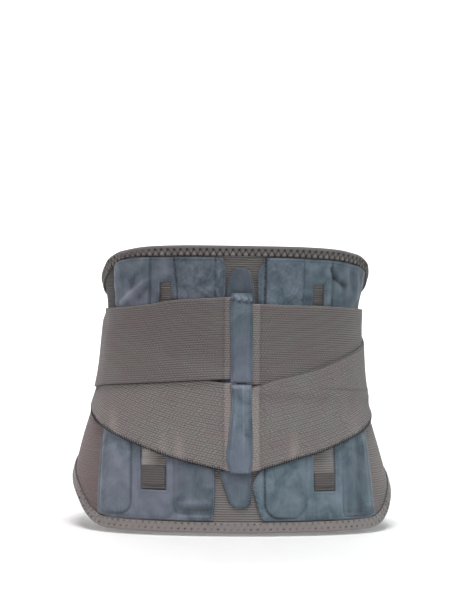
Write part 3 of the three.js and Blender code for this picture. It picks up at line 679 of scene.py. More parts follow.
# the section carried round the belt's outline, closed both ways
def bindingPiece():
    inset, lift = bindingSection()
    ring = np.repeat(np.arange(len(runTurn))[:, None], len(inset), 1)
    insets, lifts = (np.repeat(row[None, :], len(runTurn), 0) for row in (inset, lift))
    onLeg = (np.arange(len(inset)) < binding["legRows"])[None, :]
    relief, marks, plain = bindingFace(insets)
    shade = plain + np.where(onLeg, marks, 0)
    points = onBinding(ring, insets, lifts + onLeg * relief)
    index = np.arange(insets.size).reshape(insets.shape)
    ahead = np.roll(index, -1, 0)
    faces = np.stack([index, ahead, np.roll(ahead, -1, 1), np.roll(index, -1, 1)], -1).reshape(-1, 4)
    uv = np.stack(np.broadcast_arrays(runLength[:, None], walked(inset, lift)[None, :]), -1).reshape(-1, 2)
    return makePiece("bindingTape", points.reshape(-1, 3), [faces], uv, tape, shade.ravel())


# zigzag threads lie in the grooves, one between each two needle holes
def zigzagThreads(title, low, high, material):
    half = np.arange(0, runLength[-1], binding["zigzagPitch"] / 2)
    ring = np.searchsorted(runLength, half[:-1])
    nextRing = np.clip(np.searchsorted(runLength, half[1:]), 0, len(runTurn) - 1)
    lift = layers["elastic"] + binding["gap"] + binding["leg"] - 0.05
    start = onBinding(ring, zigzagInset(half[:-1]), lift)
    end = onBinding(nextRing, zigzagInset(half[1:]), lift)
    out = onBinding(ring, zigzagInset(half[:-1]), lift + 1) - start
    here = (runZ[ring] > low) & (runZ[ring] <= high)
    wide, arch = binding["threadWide"], binding["threadArch"]
    return threadPiece(title, start[here], end[here], out[here], wide, arch, material)


bindingTape = bindingPiece()
declareSheet(["edge_binding"])
# the top zigzag is sewn in a shaded copy of the thread: painted shade
zigzagThreads("bindingZigzagTop", -90, 90, shadedThread)
zigzagThreads("bindingZigzagBottom", -300, -90, thread)
print("binding made")

# pull straps
straps = {  # height of each strap's two long edges at each reach
    "upper_strap_left": {
        "reach": [5, 44, 70, 100, 140, 190, 300],
        "top": [-0.8, -3, -5.2, -10.6, -14.2, -15.5, -15],
        "bottom": [-88.6, -90.8, -92.8, -95.4, -99, -103, -102],
    },
    "upper_strap_right": {
        "reach": [5, 51, 82, 134, 190, 300],
        "top": [-8, -9.2, -9.6, -11.5, -14, -15],
        "bottom": [-93.5, -94.6, -96, -99.6, -103, -102],
    },
    "lower_strap_left": {
        "reach": [5, 31, 62, 88, 113, 149, 175, 190, 250, 300],
        "top": [-92.5, -90.5, -84.5, -77.5, -69, -56, -47, -42.5, -26, -18],
        "bottom": [-186, -181, -173.8, -165.8, -157, -143, -134.4, -130, -115, -105],
    },
    "lower_strap_right": {
        "reach": [5, 18, 31, 58, 84, 104, 140, 156, 190, 250, 300],
        "top": [-96.6, -94.2, -88.7, -82, -74.6, -66.5, -54, -49.5, -41, -26, -18],
        "bottom": [-186, -183, -179.4, -171.2, -164, -156.5, -142, -134.8, -126, -113, -105],
    },
}
strapSeats = {
    "reach": [5, 13, 19, 26, 64, 74, 90, 97, 150, 166, 190, 205, 220, 340],
    "seat": [5.8, 5.9, 6.2, 7.5, 7.5, 7.1, 7.1, 7.5, 7.5, 5.2, 3.3, 3.1, 3.1, 3.1],
}
crossing = {
    "climb": 2.5, "height": (6, 18), "inner": (12, 17), "ridge": 0.4, "crease": -2.5, "creasePaintedShading": 0.3,
}
strap = {
    "ribs": 34, "ribPitch": 2.42, "ribHeight": 0.55,
    "selvage": 2.4, "selvageHeight": [0.2, 0.8, 1.2, 1.2, 0.8],
    "start": 5, "fineTo": 200, "fineStep": 2.0, "step": 4.5, "end": 300, "insideStep": 15,
    # painted light on the swells and the folded end, painted shade in the stitch line
    "droop": 0.3, "droopWide": 6, "insideDroop": 0.8, "swellTo": (10, 48), "swellPaintedLight": 0.2,
    "fold": 19, "foldWide": 1.5, "foldRise": 0.3, "foldRibs": 0.55, "foldPaintedShading": 0.2,
    "stitch": 0.25, "stitchWide": 1.2, "stitchPaintedShade": 0.12,
}
# painted shade on the webbing, more on the upper straps; painted shadow at the lower edge; painted highlight
# or shade at the upper edge
strapPaintedShades = {  # tone of the webbing, of its lower edge and of its upper edge
    "upper_strap_left": (0.27, 1.0, -0.3), "upper_strap_right": (0.22, 0.2, -0.3),
    "lower_strap_left": (0.03, 1.0, -0.3), "lower_strap_right": (0.03, 1.0, 0.5),
}
strapWaves = {  # soft swells where the webbing rides over the panel's pockets: reach, how wide and how high
    "upper_strap_left": [(-40, 16, 0.3), (-128, 14, 0.4)],
    "upper_strap_right": [(40, 16, 0.3), (130, 14, 0.4)],
    "lower_strap_left": [(-133, 5, 1.2), (-64, 5, 1.2), (-80, 5, 0.8)],
    "lower_strap_right": [(53, 5, 1.2), (120, 12, 0.5)],
}
overlock = {
    "from": 20.0, "to": 196.0, "pitch": 2.5, "lean": 0.8, "below": 0.9, "above": 2.2,
    "wide": 0.5, "arch": 0.4,
}
strapSeat = through(strapSeats, "reach", "seat")
strapEdge = {(name, key): through(straps[name], "reach", key) for name in straps for key in ("top", "bottom")}


def strapTop(side, reach):
    return strapEdge["upper_strap_left" if side < 0 else "upper_strap_right", "top"](reach)


def strapFoot(side, reach):
    return strapEdge["lower_strap_left" if side < 0 else "lower_strap_right", "bottom"](reach)


# how far a strap climbs over the one below it: on the left the upper strap climbs, on the right the lower one
def strapClimb(name, reach, z):
    away = smooth(reach, *crossing["inner"])
    if name == "upper_strap_left":
        above = z - strapEdge["lower_strap_left", "top"](reach)
        return crossing["climb"] * away * fade(above, *crossing["height"])
    if name == "lower_strap_right":
        below = strapEdge["upper_strap_right", "bottom"](reach) - z
        step = crossing["ridge"] * bell(below, 0, 2.2) * smooth(reach, 60, 100)
        return away * (crossing["climb"] * fade(below, *crossing["height"]) + step)
    return 0.0


# lift of a strap's underside: the seat below it, its climb and its soft swells
def strapUnder(name, side, reach, z):
    under = strapSeat(reach) + strapClimb(name, reach, z)
    bottom = strapEdge[name, "bottom"](reach)
    for place, wide, high in strapWaves[name]:
        under = under + high * bell(side * reach, place, wide) * fade(z - bottom, *strap["swellTo"])
    return under


# painted shading of the webbing: dark or pale edges, a paler folded end, pale swells, and a crease over the
# strap below
def strapShade(name, side, reach, z, fromFoot, wide, fold, stitch):
    tone, foot, head = strapPaintedShades[name]
    # the webbing's tone is painted shade; the stitch line darker and the folded end paler
    shade = tone + strap["stitchPaintedShade"] * stitch - strap["foldPaintedShading"] * fold
    shade = shade + foot * fade(fromFoot, 0.4, 1.7) + head * fade(wide - fromFoot, 0.6, 2.2)
    for place, long, high in strapWaves[name]:
        shade = shade - strap["swellPaintedLight"] * high * bell(side * reach, place, long) * fade(fromFoot, 8, 36)
    if name == "lower_strap_right":
        above = z - strapEdge["upper_strap_right", "bottom"](reach)
        # painted shade in a crease along the upper strap's lower edge
        crease = bell(above, crossing["crease"], 1.2) * smooth(reach, 70, 110)
        shade = shade + crossing["creasePaintedShading"] * crease
    return shade


# ribs run along the strap between two selvage beads; its inner end is a sewn fold with flatter ribs
def strapPiece(name, title, side):
    count, pitch, bead = strap["ribs"], strap["ribPitch"], strap["selvage"]
    coarse = np.arange(strap["fineTo"] + 1, strap["end"] + 0.1, strap["step"])
    reaches = np.concatenate([np.arange(strap["start"], strap["fineTo"], strap["fineStep"]), coarse])
    edgeRows = ribRows["place"] * bead
    ribPlaces = bead + (np.arange(count)[:, None] + ribRows["place"]).ravel() * pitch
    wide = 2 * bead + count * pitch
    places = np.concatenate([edgeRows, ribPlaces, wide - bead + edgeRows, [wide]])
    beads = strap["selvageHeight"]
    ridge = np.concatenate([beads, np.tile(ribRows["height"], count), [0], beads[1:], beads[:1]])
    share = (places / wide)[None, :]
    reach = np.repeat((reaches if side > 0 else reaches[::-1])[:, None], len(places), 1)
    z = mix(strapEdge[name, "bottom"](reach), strapEdge[name, "top"](reach), share)
    fold = fade(reach, strap["fold"] - strap["foldWide"], strap["fold"])
    stitch = bell(reach, strap["fold"], strap["stitchWide"])
    under = strapUnder(name, side, reach, z)
    droop = strap["droop"] * fade(np.minimum(share, 1 - share) * wide, 0, strap["droopWide"])
    depth = strap["ribHeight"] * (1 - strap["foldRibs"] * fold)
    over = under + layers["webbing"] - depth * (1 - ridge[None, :]) - droop
    over = over + strap["foldRise"] * fold - strap["stitch"] * stitch
    outside = wrap(side * reach, z, over)
    inside = wrap(side * reach, z, under - strap["insideDroop"] * droop)
    shade = strapShade(name, side, reach, z, share * wide, wide, fold, stitch)
    uv = np.stack([side * reach, np.repeat((places - bead)[None, :], len(reaches), 0)], -1)
    material = upperElastic if name.startswith("upper") else elastic
    step = strap["insideStep"]
    piece = clothPiece(title, outside, inside, uv, material, shade, step=step)
    declareSheet([name])


# dark loops of the overlocked edge: each climbs from just under the strap's edge onto its face; their
# near-black thread is also painted shadow under that edge
def overlockLoops(name, title, side):
    edge, lean = strapEdge[name, "bottom"], overlock["lean"]
    reach = np.arange(overlock["from"], overlock["to"], overlock["pitch"])
    uneven = 0.5 + 0.5 * wander(reach, 2.3, 1.1, 0.7)
    low = edge(reach) - overlock["below"] - 0.5 * uneven
    high = edge(reach + lean) + overlock["above"] + 1.6 * uneven
    lift = strapUnder(name, side, reach, edge(reach)) + layers["webbing"] - strap["droop"]
    start, end = wrap(side * reach, low, lift - 0.6), wrap(side * (reach + lean), high, lift + 0.1)
    normal = wrap(side * reach, low, lift + 1) - wrap(side * reach, low, lift)
    threadPiece(title, start, end, normal, overlock["wide"], overlock["arch"], darkThread)


strapPiece("lower_strap_left", "lowerStrapLeft", -1)
strapPiece("upper_strap_left", "upperStrapLeft", -1)
strapPiece("upper_strap_right", "upperStrapRight", 1)
strapPiece("lower_strap_right", "lowerStrapRight", 1)
overlockLoops("lower_strap_left", "overlockLowerLeft", -1)
overlockLoops("lower_strap_right", "overlockLowerRight", 1)
print("straps made")

# suede panels
panelEdges = {  # reach of the inner and outer edges at each height
    -1: {
        "z": [40, 29, 10, -80, -156, -180, -212, -231],
        "inner": [21.5, 18.3, 17.8, 20.3, 22.5, 27.3, 27.9, 29.5],
        "outer": [140, 145, 144.5, 150, 154.5, 155.5, 156.4, 155],
    },
    1: {
        "z": [40, 33, 27, 10, -8, -80, -156, -182, -190, -199, -209, -217, -233],
        "inner": [21.5, 19.8, 16.5, 16, 16.1, 17.5, 20.5, 18.2, 13.8, 11, 12.6, 14.8, 21],
        "outer": [148, 152, 152, 148.5, 144.5, 144, 146, 146.5, 147, 148, 149, 150, 152],
    },
}
# the tones are painted shade and light: hem, edges, top, below the straps, pocket seams, crumples, folds and
# the roll's lumps
panel = {  # hem: place, width, depth and tone; edge: depth, width, tone and the tone's width
    "margin": 1.2, "lift": onElastic, "over": 0.35, "least": 0.4, "most": 12, "strapGap": 0.4,
    "foot": -230.0, "head": 35.0, "hem": (2.6, 0.7, 0.4, 0.22), "edge": (1.0, 1.4, 0.3, 1.2),
    "rumple": (0.15, 0.7), "rumplePaintedShading": (0.06, 0.16), "creases": 0.75, "fold": 1.5, "foldPaintedShading": 0.17,
    "topPaintedShade": 0.2, "strapTone": 0.75, "seamPaintedShade": 0.62,
    "roll": 0.9, "rollLumps": 0.5, "rollPaintedShading": 0.3,  # the rolled inner edge on the right
}
panelGrid = {  # the ends of the grid and the fixed lines near them, across and up
    "pitch": 1.45, "from": 10, "near": 34.0, "far": 134.0, "to": 160,
    "low": -236, "foot": -212.0, "head": 15.0, "high": 42,
}
pocketSide = {"swell": 2.3, "rise": 6.5, "seam": 0.55, "seamWide": 1.0, "meet": (-75, -45), "inSide": 8}
# the reach of a pocket's two long edges at its head and foot, the round of a closed foot, how much darker or
# paler it is and how dark the painted shade is along the seam on the inner and the outer edge
pocketKeys = (
    "head", "headFrom", "headTo", "foot", "footFrom", "footTo", "round", "tone", "innerSeam", "outerSeam",
)
pocketRows = {
    -1: [
        (38, 29.5, 71.8, -60, 28.5, 60, 0, 0.05, 0.4, 1.1), (38, 97, 142, -60, 96, 142, 0, -0.06, 0.8, 0.3),
        (-60, 28.5, 69.6, -226, 28.8, 69.6, 7, 0.24, 0.2, 0.5),
        (-60, 114, 150, -228, 115.2, 152, 11, 0.04, 0.9, 0.3),
    ],
    1: [
        (38, 23.5, 64, -60, 23.5, 64, 0, -0.1, 1.2, 0.5), (38, 96, 147, -60, 100, 139, 0, 0.14, 0.6, 0.3),
        (-60, 23.3, 66, -230.5, 23.4, 66, 15, 0.08, 1.3, 0.25),
        (-60, 110, 141, -230, 108, 148.5, 6, 0.3, 0.3, 0.3),
    ],
}
windows = {  # from reach, to reach, bottom, top
    -1: [(74.5, 86.2, -30, 13.2), (78, 104.5, -203, -135)],
    1: [(76, 87.4, -30, 13), (75.6, 99.3, -204, -135)],
}
panelFolds = {  # ridge or valley from (reach, height) to (reach, height), how wide and how high
    -1: [
        (130, -9, 102, 15, 2.6, 1.7), (118, 10, 111, 24, 4, -1.5), (109, -2, 100, 8, 3.5, -1.3),
        (139, -8, 137, 28, 5, 1.5), (24, 26, 30, 12, 2, 1.0), (27, 6, 25, -3, 2, 1.0),
        (54, 13, 43, 6, 1.8, 1.0), (34, 19, 44, 21, 1.8, 0.8), (30, -2, 40, 3, 1.8, 0.8),
        (33, -216.5, 64, -216, 2.6, 1.2), (36, -223, 62, -223, 2.6, -1.3), (34, -229.5, 64, -230, 1.8, 0.8),
    ],
    1: [
        (95.5, 30, 99, 20, 2.4, -1.8), (99, 20, 111, 13.5, 2.6, -2.0), (91, 25, 104, 8, 3, 0.8),
        (112, 30, 114, 12, 3, 1.2), (98, -3, 110, -6, 3.5, -1.0), (121, 26, 123, 12, 4, -0.6),
        (129, 24, 132, 2, 3, 0.7), (140, 20, 138, 4, 4, 0.5), (40, -6, 70, -2, 4, -0.8),
        (52, 2, 60, 14, 5, 0.8), (40, 6, 36, 22, 5, -0.6),
        (117, -150, 118, -226, 3, 0.7), (126, -150, 128, -226, 3.5, -0.7), (134, -150, 138, -226, 3, 0.6),
        (112, -226, 147, -227, 3, -0.9), (72, -218, 99, -218, 8, 0.6),
    ],
}
pockets = {side: [dict(zip(pocketKeys, row)) for row in rows] for side, rows in pocketRows.items()}
panelEdge = {side: curves(panelEdges[side], "z", "inner", "outer") for side in (-1, 1)}


# height of the panel's lower or upper edge: a margin in from the belt's edge, measured square to it
def panelLimit(edge, side, reach, guess, toward):
    z = np.full_like(reach, guess)
    for _ in range(4):
        turn = np.abs(turnAt(side * reach, z))
        slope = (edge(turn + 1) - edge(turn - 1)) / 5.0  # two degrees are about 5 mm here
        tapeWide = topTapeWidth(side * turn) if toward < 0 else binding["width"]
        z = edge(turn) + toward * (tapeWide + panel["margin"]) * np.hypot(1, slope)
    return z


def panelEnds(side, reach):
    low = panelLimit(bottomEdge, side, reach, panel["foot"], 1)
    return low, panelLimit(topEdge, side, reach, panel["head"], -1)


# a pocket's sides lean straight from one height to the other
def pocketSides(pocket, z):
    down = np.clip((pocket["head"] - z) / (pocket["head"] - pocket["foot"]), 0, 1)
    return mix(pocket["headFrom"], pocket["footFrom"], down), mix(pocket["headTo"], pocket["footTo"], down)


# distance inside a pocket, which has a round foot if it is closed
def pocketDepth(pocket, reach, z):
    left, right = pocketSides(pocket, z)
    corner = pocket["round"]
    across = np.abs(reach - (left + right) / 2) - ((right - left) / 2 - corner)
    below = (pocket["foot"] + corner) - z if corner else np.full(np.shape(z), -50.0)
    outer = np.hypot(np.maximum(across, 0), np.maximum(below, 0))
    return corner - outer - np.minimum(np.maximum(across, below), 0)


# distance from the nearest point of a straight fold
def segmentDistance(reach, z, ends):
    a, b = np.array(ends[:2], float), np.array(ends[2:], float)
    run = b - a
    t = np.clip(((reach - a[0]) * run[0] + (z - a[1]) * run[1]) / (run @ run), 0, 1)
    return np.hypot(reach - a[0] - t * run[0], z - a[1] - t * run[1])


# distance out from a window
def windowDistance(reach, z, window):
    across = np.maximum(window[0] - reach, reach - window[1])
    upright = np.maximum(window[2] - z, z - window[3])
    return np.hypot(np.maximum(across, 0), np.maximum(upright, 0))


# 1 below the pair of straps, counted from so far past their edges
def underStraps(side, reach, z, past, wide):
    fromTop, fromFoot = strapTop(side, reach) - z, z - strapFoot(side, reach)
    return smooth(fromTop + past, 0, wide) * smooth(fromFoot + past, 0, wide)


# crumpled nap: four slow waves that cross each other, from -1 to 1
def crumple(reach, z, start):
    waves = ((0.23, 0.11), (-0.13, 0.27), (0.37, -0.19), (0.11, 0.43))
    return sum(np.sin(a * reach + b * z + start * (k + 1)) for k, (a, b) in enumerate(waves)) / 4


# short creases: two waves of reach and height that bend each other, from -1 to 1
def creases(reach, z):
    across = np.sin(0.85 * reach + 1.7 * np.sin(0.33 * z + 0.2 * reach))
    return across * np.sin(0.75 * z + 1.5 * np.sin(0.31 * reach - 0.15 * z))


# lift of the suede's face and its painted shading: pillowed pockets, folds and hems, held down below the
# straps
def panelFace(side, reach, z, low, high):
    atTop = smooth(z, -60, 0)
    rumple = crumple(reach, z, side * 1.3)
    rumple = rumple + panel["creases"] * atTop * fade(reach, 62, 76) * creases(reach, z)
    lift = panel["lift"] + layers["suede"] + panel["over"] + mix(*panel["rumple"], atTop) * rumple
    # painted shade towards the top, painted light and shade on the crumples
    shade = panel["topPaintedShade"] * atTop - mix(*panel["rumplePaintedShading"], atTop) * rumple
    # painted shadow below the straps
    shade = shade + panel["strapTone"] * underStraps(side, reach, z, -4, 6)
    for pocket in pockets[side]:
        shown = (smooth if pocket["head"] > 0 else fade)(z, *pocketSide["meet"])
        depth = pocketDepth(pocket, reach, z)
        pillow = np.sqrt(1 - (1 - np.clip(depth / pocketSide["rise"], 0, 1)) ** 2)
        line = bell(depth, 0, pocketSide["seamWide"])
        lift = lift + shown * (pocketSide["swell"] * pillow - pocketSide["seam"] * line)
        inner, outer = pocket["footFrom"] + pocketSide["inSide"], pocket["footTo"] - pocketSide["inSide"]
        # painted shade along each pocket's sunk seam, then the pocket's own darker or paler tone
        dark = panel["seamPaintedShade"] * mix(pocket["innerSeam"], pocket["outerSeam"], smooth(reach, inner, outer))
        shade = shade + (dark * line + pocket["tone"] * smooth(depth, 0, 4)) * shown
    for *ends, wide, height in panelFolds[side]:
        crest = height * bell(segmentDistance(reach, z, ends), 0, wide)
        lift = lift + panel["fold"] * crest
        # painted highlight on the folds' ridges and painted shade in their valleys
        shade = shade - panel["foldPaintedShading"] * crest
    inner, outer = (edge(z) for edge in panelEdge[side])
    edge = edgeDistance(reach, z, inner, outer, low, high)
    if side > 0:
        roll = bell(reach - inner, 1.6, 1.3) * fade(z, -186, -176)
        lumps = np.sin(1.5 * z + 1.2 * reach)
        lift = lift + panel["roll"] * roll * (1 + panel["rollLumps"] * lumps)
        # painted light and shade on the rolled edge's lumps
        shade = shade - panel["rollPaintedShading"] * roll * lumps
    for window in windows[side]:
        edge = np.minimum(edge, windowDistance(reach, z, window))
    # painted shade in the hem and round the edges
    hemLift, hemShade = hemmed(edge, edge, panel)
    limit = mix(panel["most"], strapSeat(reach) - panel["strapGap"], underStraps(side, reach, z, 7, 5))
    lift = np.maximum(np.minimum(lift + hemLift, limit), panel["lift"] + panel["least"])
    return lift, shade + hemShade


# even lines between the two ends, with one on each fixed place
def gridLines(start, end, fixed):
    stops = np.concatenate([[start], np.sort(fixed), [end]])
    counts = [max(2, int(round(gap / panelGrid["pitch"])) + 1) for gap in np.diff(stops)]
    parts = [np.linspace(a, b, count)[:-1] for a, b, count in zip(stops[:-1], stops[1:], counts)]
    return np.concatenate(parts + [[end]])


# lines on the window edges stay put, and the outer lines are stretched to the panel's two sides and two ends
def panelPiece(side, name, title):
    start, near, far, end = (panelGrid[key] for key in ("from", "near", "far", "to"))
    lowest, foot, head, highest = (panelGrid[key] for key in ("low", "foot", "head", "high"))
    lines = gridLines(start, end, [near, far] + [hole[k] for hole in windows[side] for k in (0, 1)])
    rows = gridLines(lowest, highest, [foot, head] + [hole[k] for hole in windows[side] for k in (2, 3)])
    line, row = np.meshgrid(lines, rows, indexing="ij")
    z = row
    for _ in range(3):
        inner, outer = (edge(z) for edge in panelEdge[side])
        reach = np.where(line < near, mix(inner, near, (line - start) / (near - start)), line)
        reach = np.where(line > far, mix(far, outer, (line - far) / (end - far)), reach)
        low, high = panelEnds(side, reach)
        z = np.where(row < foot, mix(low, foot, (row - lowest) / (foot - lowest)), row)
        z = np.where(row > head, mix(head, high, (row - head) / (highest - head)), z)
    lift, shade = panelFace(side, reach, z, low, high)
    if side < 0:
        reach, z, lift, shade, lines = (part[::-1] for part in (reach, z, lift, shade, lines))
    outside = wrap(side * reach, z, lift)
    inside = wrap(side * reach, z, panel["lift"])
    across, up = ((part[:-1] + part[1:]) / 2 for part in (lines, rows))
    keep = np.ones((len(across), len(up)), bool)
    for left, right, bottom, top in windows[side]:
        keep &= ~((across > left) & (across < right))[:, None] | ~((up > bottom) & (up < top))[None, :]
    uv = np.stack([side * reach, z], -1)
    material = leftSuede if side < 0 else rightSuede
    piece = clothPiece(title, outside, inside, uv, material, shade, keep=keep)
    declareSheet([name])


panelPiece(-1, "panel_left", "panelLeft")
panelPiece(1, "panel_right", "panelRight")
print("panels made")


# grid of a strip whose two edges are a table of reaches over height; share runs across it from -1 to 1
def stripGrid(table, columns, rows):
    share = np.linspace(-1, 1, columns)[:, None]
    z = np.linspace(table["z"][-1], table["z"][0], rows)[None, :]
    left, right = (edge(z) for edge in curves(table, "z", "left", "right"))
    return share, np.repeat(z, columns, 0), left, right, mix(left, right, (share + 1) / 2)


# cloth between a seat and a face, both given as lifts
def patchPiece(title, reach, height, seat, face, material, shade):
    uv = np.stack([reach, height], -1)
    return clothPiece(title, wrap(reach, height, face), wrap(reach, height, seat), uv, material, shade)


# spine pad
spinePad = {  # reach of the left and right edges at each height; the tones are the values low and high on it
    "z": [29.5, 27.5, 22, 12, 0, -120, -170, -185, -197, -208, -216, -220.5],
    "left": [-6, -9.5, -13.3, -15.5, -17, -18.5, -22, -22.8, -19.7, -15.7, -12.3, -7],
    "right": [1.5, 5, 9, 11, 12.5, 13, 12, 10.8, 9.2, 9.4, 8, 4],
    "lift": onElastic, "wall": 2.2, "crown": 0.6, "most": 5.4, "least": 0.5, "edge": 2.0, "edgeDepth": 1.5,
    "endSlope": 1.2, "hem": 2.4, "hemWide": 0.7, "hemDepth": 0.45, "seams": ((26, -3), (-187, -217)),
    "tone": (0.25, 0.45), "hemPaintedShade": (0.18, 0.1), "edgePaintedShade": (0.35, 0.05), "toneWide": 1.3,
}


# a long pad with round ends: its section is a low crown with rounded edges and a sewn line inside them
def spinePadPiece():
    share, height, left, right, reach = stripGrid(spinePad, 33, 181)
    end = np.minimum(height - spinePad["z"][-1], spinePad["z"][0] - height)
    edge = np.minimum(np.minimum(reach - left, right - reach), end * spinePad["endSlope"])
    hem = bell(edge, spinePad["hem"], spinePad["hemWide"])
    crown = spinePad["crown"] * (1 - share**2)
    lift = spinePad["lift"] + spinePad["wall"] + crown - spinePad["hemDepth"] * hem
    lift = np.minimum(lift, spinePad["most"]) - spinePad["edgeDepth"] * fade(edge, 0, spinePad["edge"])
    lift = np.maximum(lift, spinePad["lift"] + spinePad["least"])
    # the pad darker overall, and painted shade darker still towards the top, along the sewn line and round
    # the rounded edges
    atTop = smooth(height, -60, 0)
    tone, hemPaintedShade, edgePaintedShade = (mix(*spinePad[key], atTop) for key in ("tone", "hemPaintedShade", "edgePaintedShade"))
    shade = tone + hemPaintedShade * hem + edgePaintedShade * fade(edge, 0, spinePad["toneWide"])
    piece = patchPiece("spinePad", reach, height, spinePad["lift"], lift, suede, shade)
    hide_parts("spine_pad")


spinePadPiece()

# centre tapes
upperTape = {  # reach of the left and right edges at each height
    "z": [3.5, -7, -26, -73, -91.8],
    "left": [-11.2, -13.2, -13, -11.8, -11.8],
    "right": [9.8, 9.7, 10.5, 11, 11.2],
    "lift": 8.2, "puff": 0.6, "slope": 0.16, "topPuff": 1.3, "underRollPaintedShadow": 0.3, "crease": 40,
}
lowerTape = {
    "z": [-93.8, -115, -153, -173, -186.5],
    "left": [-11.8, -11, -14.5, -16.7, -12.2],
    "right": [10.2, 10, 10.9, 10.7, 8.4],
    "lift": 8.2, "puff": 0.4, "slope": 0.0, "topPuff": 0.4, "underRollPaintedShadow": 0.0, "crease": 1.5,
}
centre = {  # hem and edge as for the panels
    "hem": (2.2, 0.7, 0.4, 0.2), "edge": (0.9, 1.4, 0.35, 1.2),
    "belowRoll": 0.7, "lumps": 0.35, "lumpPaintedShading": 0.2, "crease": 0.5, "creasePaintedShading": 0.2,
    "tone": 0.06, "topPaintedShade": 0.12, "rollPaintedShading": 0.4,
}


# a flat tape over the straps' ends: edges rounded, sewn lines inside them, top end turned under and puffed,
# with painted light and shade
def centreTape(title, node, table):
    share, height, left, right, reach = stripGrid(table, 31, 76)
    head, foot, puff = table["z"][0], table["z"][-1], table["topPuff"]
    fromTop, side = head - height, np.minimum(reach - left, right - reach)
    edge = np.minimum(side, np.minimum(fromTop, height - foot))
    rolled = fromTop - table["slope"] * (reach - left)  # distance from the turned end
    bumps = np.sin(0.9 * reach + 0.6 + 1.3 * np.sin(0.8 * fromTop))
    bumps = bumps + 0.7 * np.sin(1.7 * reach - 0.9 * fromTop)
    lumps = puff * bumps * bell(rolled, 4, 4.5)
    fold = bell(reach, table["crease"], 1.0) * fade(fromTop, 55, 85)
    roll, below = bell(rolled, 3.2, 2.2), bell(rolled, 7.2, 1.3)
    hemLift, hemShade = hemmed(side, edge, centre)
    lift = table["lift"] + layers["suede"] + table["puff"] * (1 - share**2) + hemLift
    lift = lift + puff * (roll - centre["belowRoll"] * below)
    lift = lift + centre["lumps"] * lumps - centre["crease"] * fold
    # painted shade in the hem, at the edges and towards the top; painted light on the crease, lumps and
    # turned end; painted shadow under it
    shade = hemShade - centre["creasePaintedShading"] * fold - centre["lumpPaintedShading"] * lumps
    shade = shade + centre["tone"] + centre["topPaintedShade"] * smooth(height, -110, -60)
    shade = shade - centre["rollPaintedShading"] * bell(rolled, 3.0, 2.5) * smooth(edge, 0.2, 1.5)
    shade = shade + table["underRollPaintedShadow"] * bell(rolled, 7.2, 1.2)
    piece = patchPiece(title, reach, height, table["lift"], lift, suede, shade)
    declareSheet([node])


centreTape("upperTape", "upper_centre_tape", upperTape)
centreTape("lowerTape", "lower_centre_tape", lowerTape)

# window tabs, front fastener and strap tabs
windowTabs = {-1: (78.8, 103.7, -202.2, -178.6), 1: (76.4, 98.5, -203.2, -185.4)}  # from, to, bottom, top
windowTab = {  # hem and edge as for the panels
    "lift": onElastic, "wall": 1.3, "ribPitch": 2.4, "ribHeight": 0.35, "sag": 1.5,
    "hem": (3.2, 0.9, 0.0, 0.55), "edge": (0.6, 1.2, 0.25, 1),
}
fastener = {
    "from": 168, "to": 192, "bottom": -152, "top": -22, "lift": onElastic, "wall": 3.3, "clothTurn": 2.0,
}
strapTab = {
    "from": 284, "to": 338, "bottom": -112, "top": -14, "wall": 1.8, "high": 8.0, "low": onElastic,
    "ramp": (303, 322), "hem": (3, 0.8, 0.3, 0.3), "edge": (0.8, 1.3, 0.0, 1),
}


# even grid of a patch, which runs the other way on the left so that its face looks out
def patchGrid(side, left, right, bottom, top, columns, rows):
    across = np.linspace(left, right, columns)[::side]
    return np.meshgrid(across, np.linspace(bottom, top, rows), indexing="ij")


# a small ribbed patch: ridges run across it, its edges are turned down and a seam sags over its foot, with
# painted shadow along that seam
def windowTabPiece(side, title, node):
    left, right, bottom, top = windowTabs[side]
    reach, height = patchGrid(side, left, right, bottom, top, 25, 41)
    ridge = np.abs(np.sin(np.pi * (height - bottom) / windowTab["ribPitch"]))
    edge = edgeDistance(reach, height, left, right, bottom, top)
    sag = windowTab["sag"] * (2 * (reach - left) / (right - left) - 1) ** 2
    hemLift, shade = hemmed(height - bottom - sag, edge, windowTab)
    lift = windowTab["lift"] + windowTab["wall"] - windowTab["ribHeight"] * (1 - ridge) + hemLift
    outside, inside = (wrap(side * reach, height, at) for at in (lift, windowTab["lift"]))
    uv = np.stack([side * reach, height - bottom], -1)
    piece = clothPiece(title, outside, inside, uv, darkElastic, shade)
    declareSheet([node])


# a patch of tape between the two overlapping wing ends
def fastenerPiece():
    turn, height = patchGrid(1, *(fastener[key] for key in ("from", "to", "bottom", "top")), 25, 33)
    outside = onWaist(turn, height, fastener["lift"] + fastener["wall"])
    inside = onWaist(turn, height, fastener["lift"])
    uv = np.stack([turn * fastener["clothTurn"], height], -1)
    piece = clothPiece("frontFastener", outside, inside, uv, hookTape)
    declareSheet(["front_fastener"])


# a tab sewn over the two straps' ends, stepping down to the wing past them
def strapTabPiece(side, title, node):
    left, right, bottom, top = (strapTab[key] for key in ("from", "to", "bottom", "top"))
    reach, height = patchGrid(side, left, right, bottom, top, 49, 49)
    seat = mix(strapTab["high"], strapTab["low"], smooth(reach, *strapTab["ramp"]))
    edge = edgeDistance(reach, height, left, right, bottom, top)
    # painted shade along the sewn hem
    hemLift, shade = hemmed(edge, edge, strapTab)
    lift = seat + strapTab["wall"] + hemLift
    piece = patchPiece(title, side * reach, height, seat, lift, hookTape, shade)
    declareSheet([node])


windowTabPiece(-1, "windowTabLeft", "window_tab_left")
windowTabPiece(1, "windowTabRight", "window_tab_right")
fastenerPiece()
strapTabPiece(-1, "strapTabLeft", "strap_tab_left")
strapTabPiece(1, "strapTabRight", "strap_tab_right")
print("pad, tapes and tabs made")

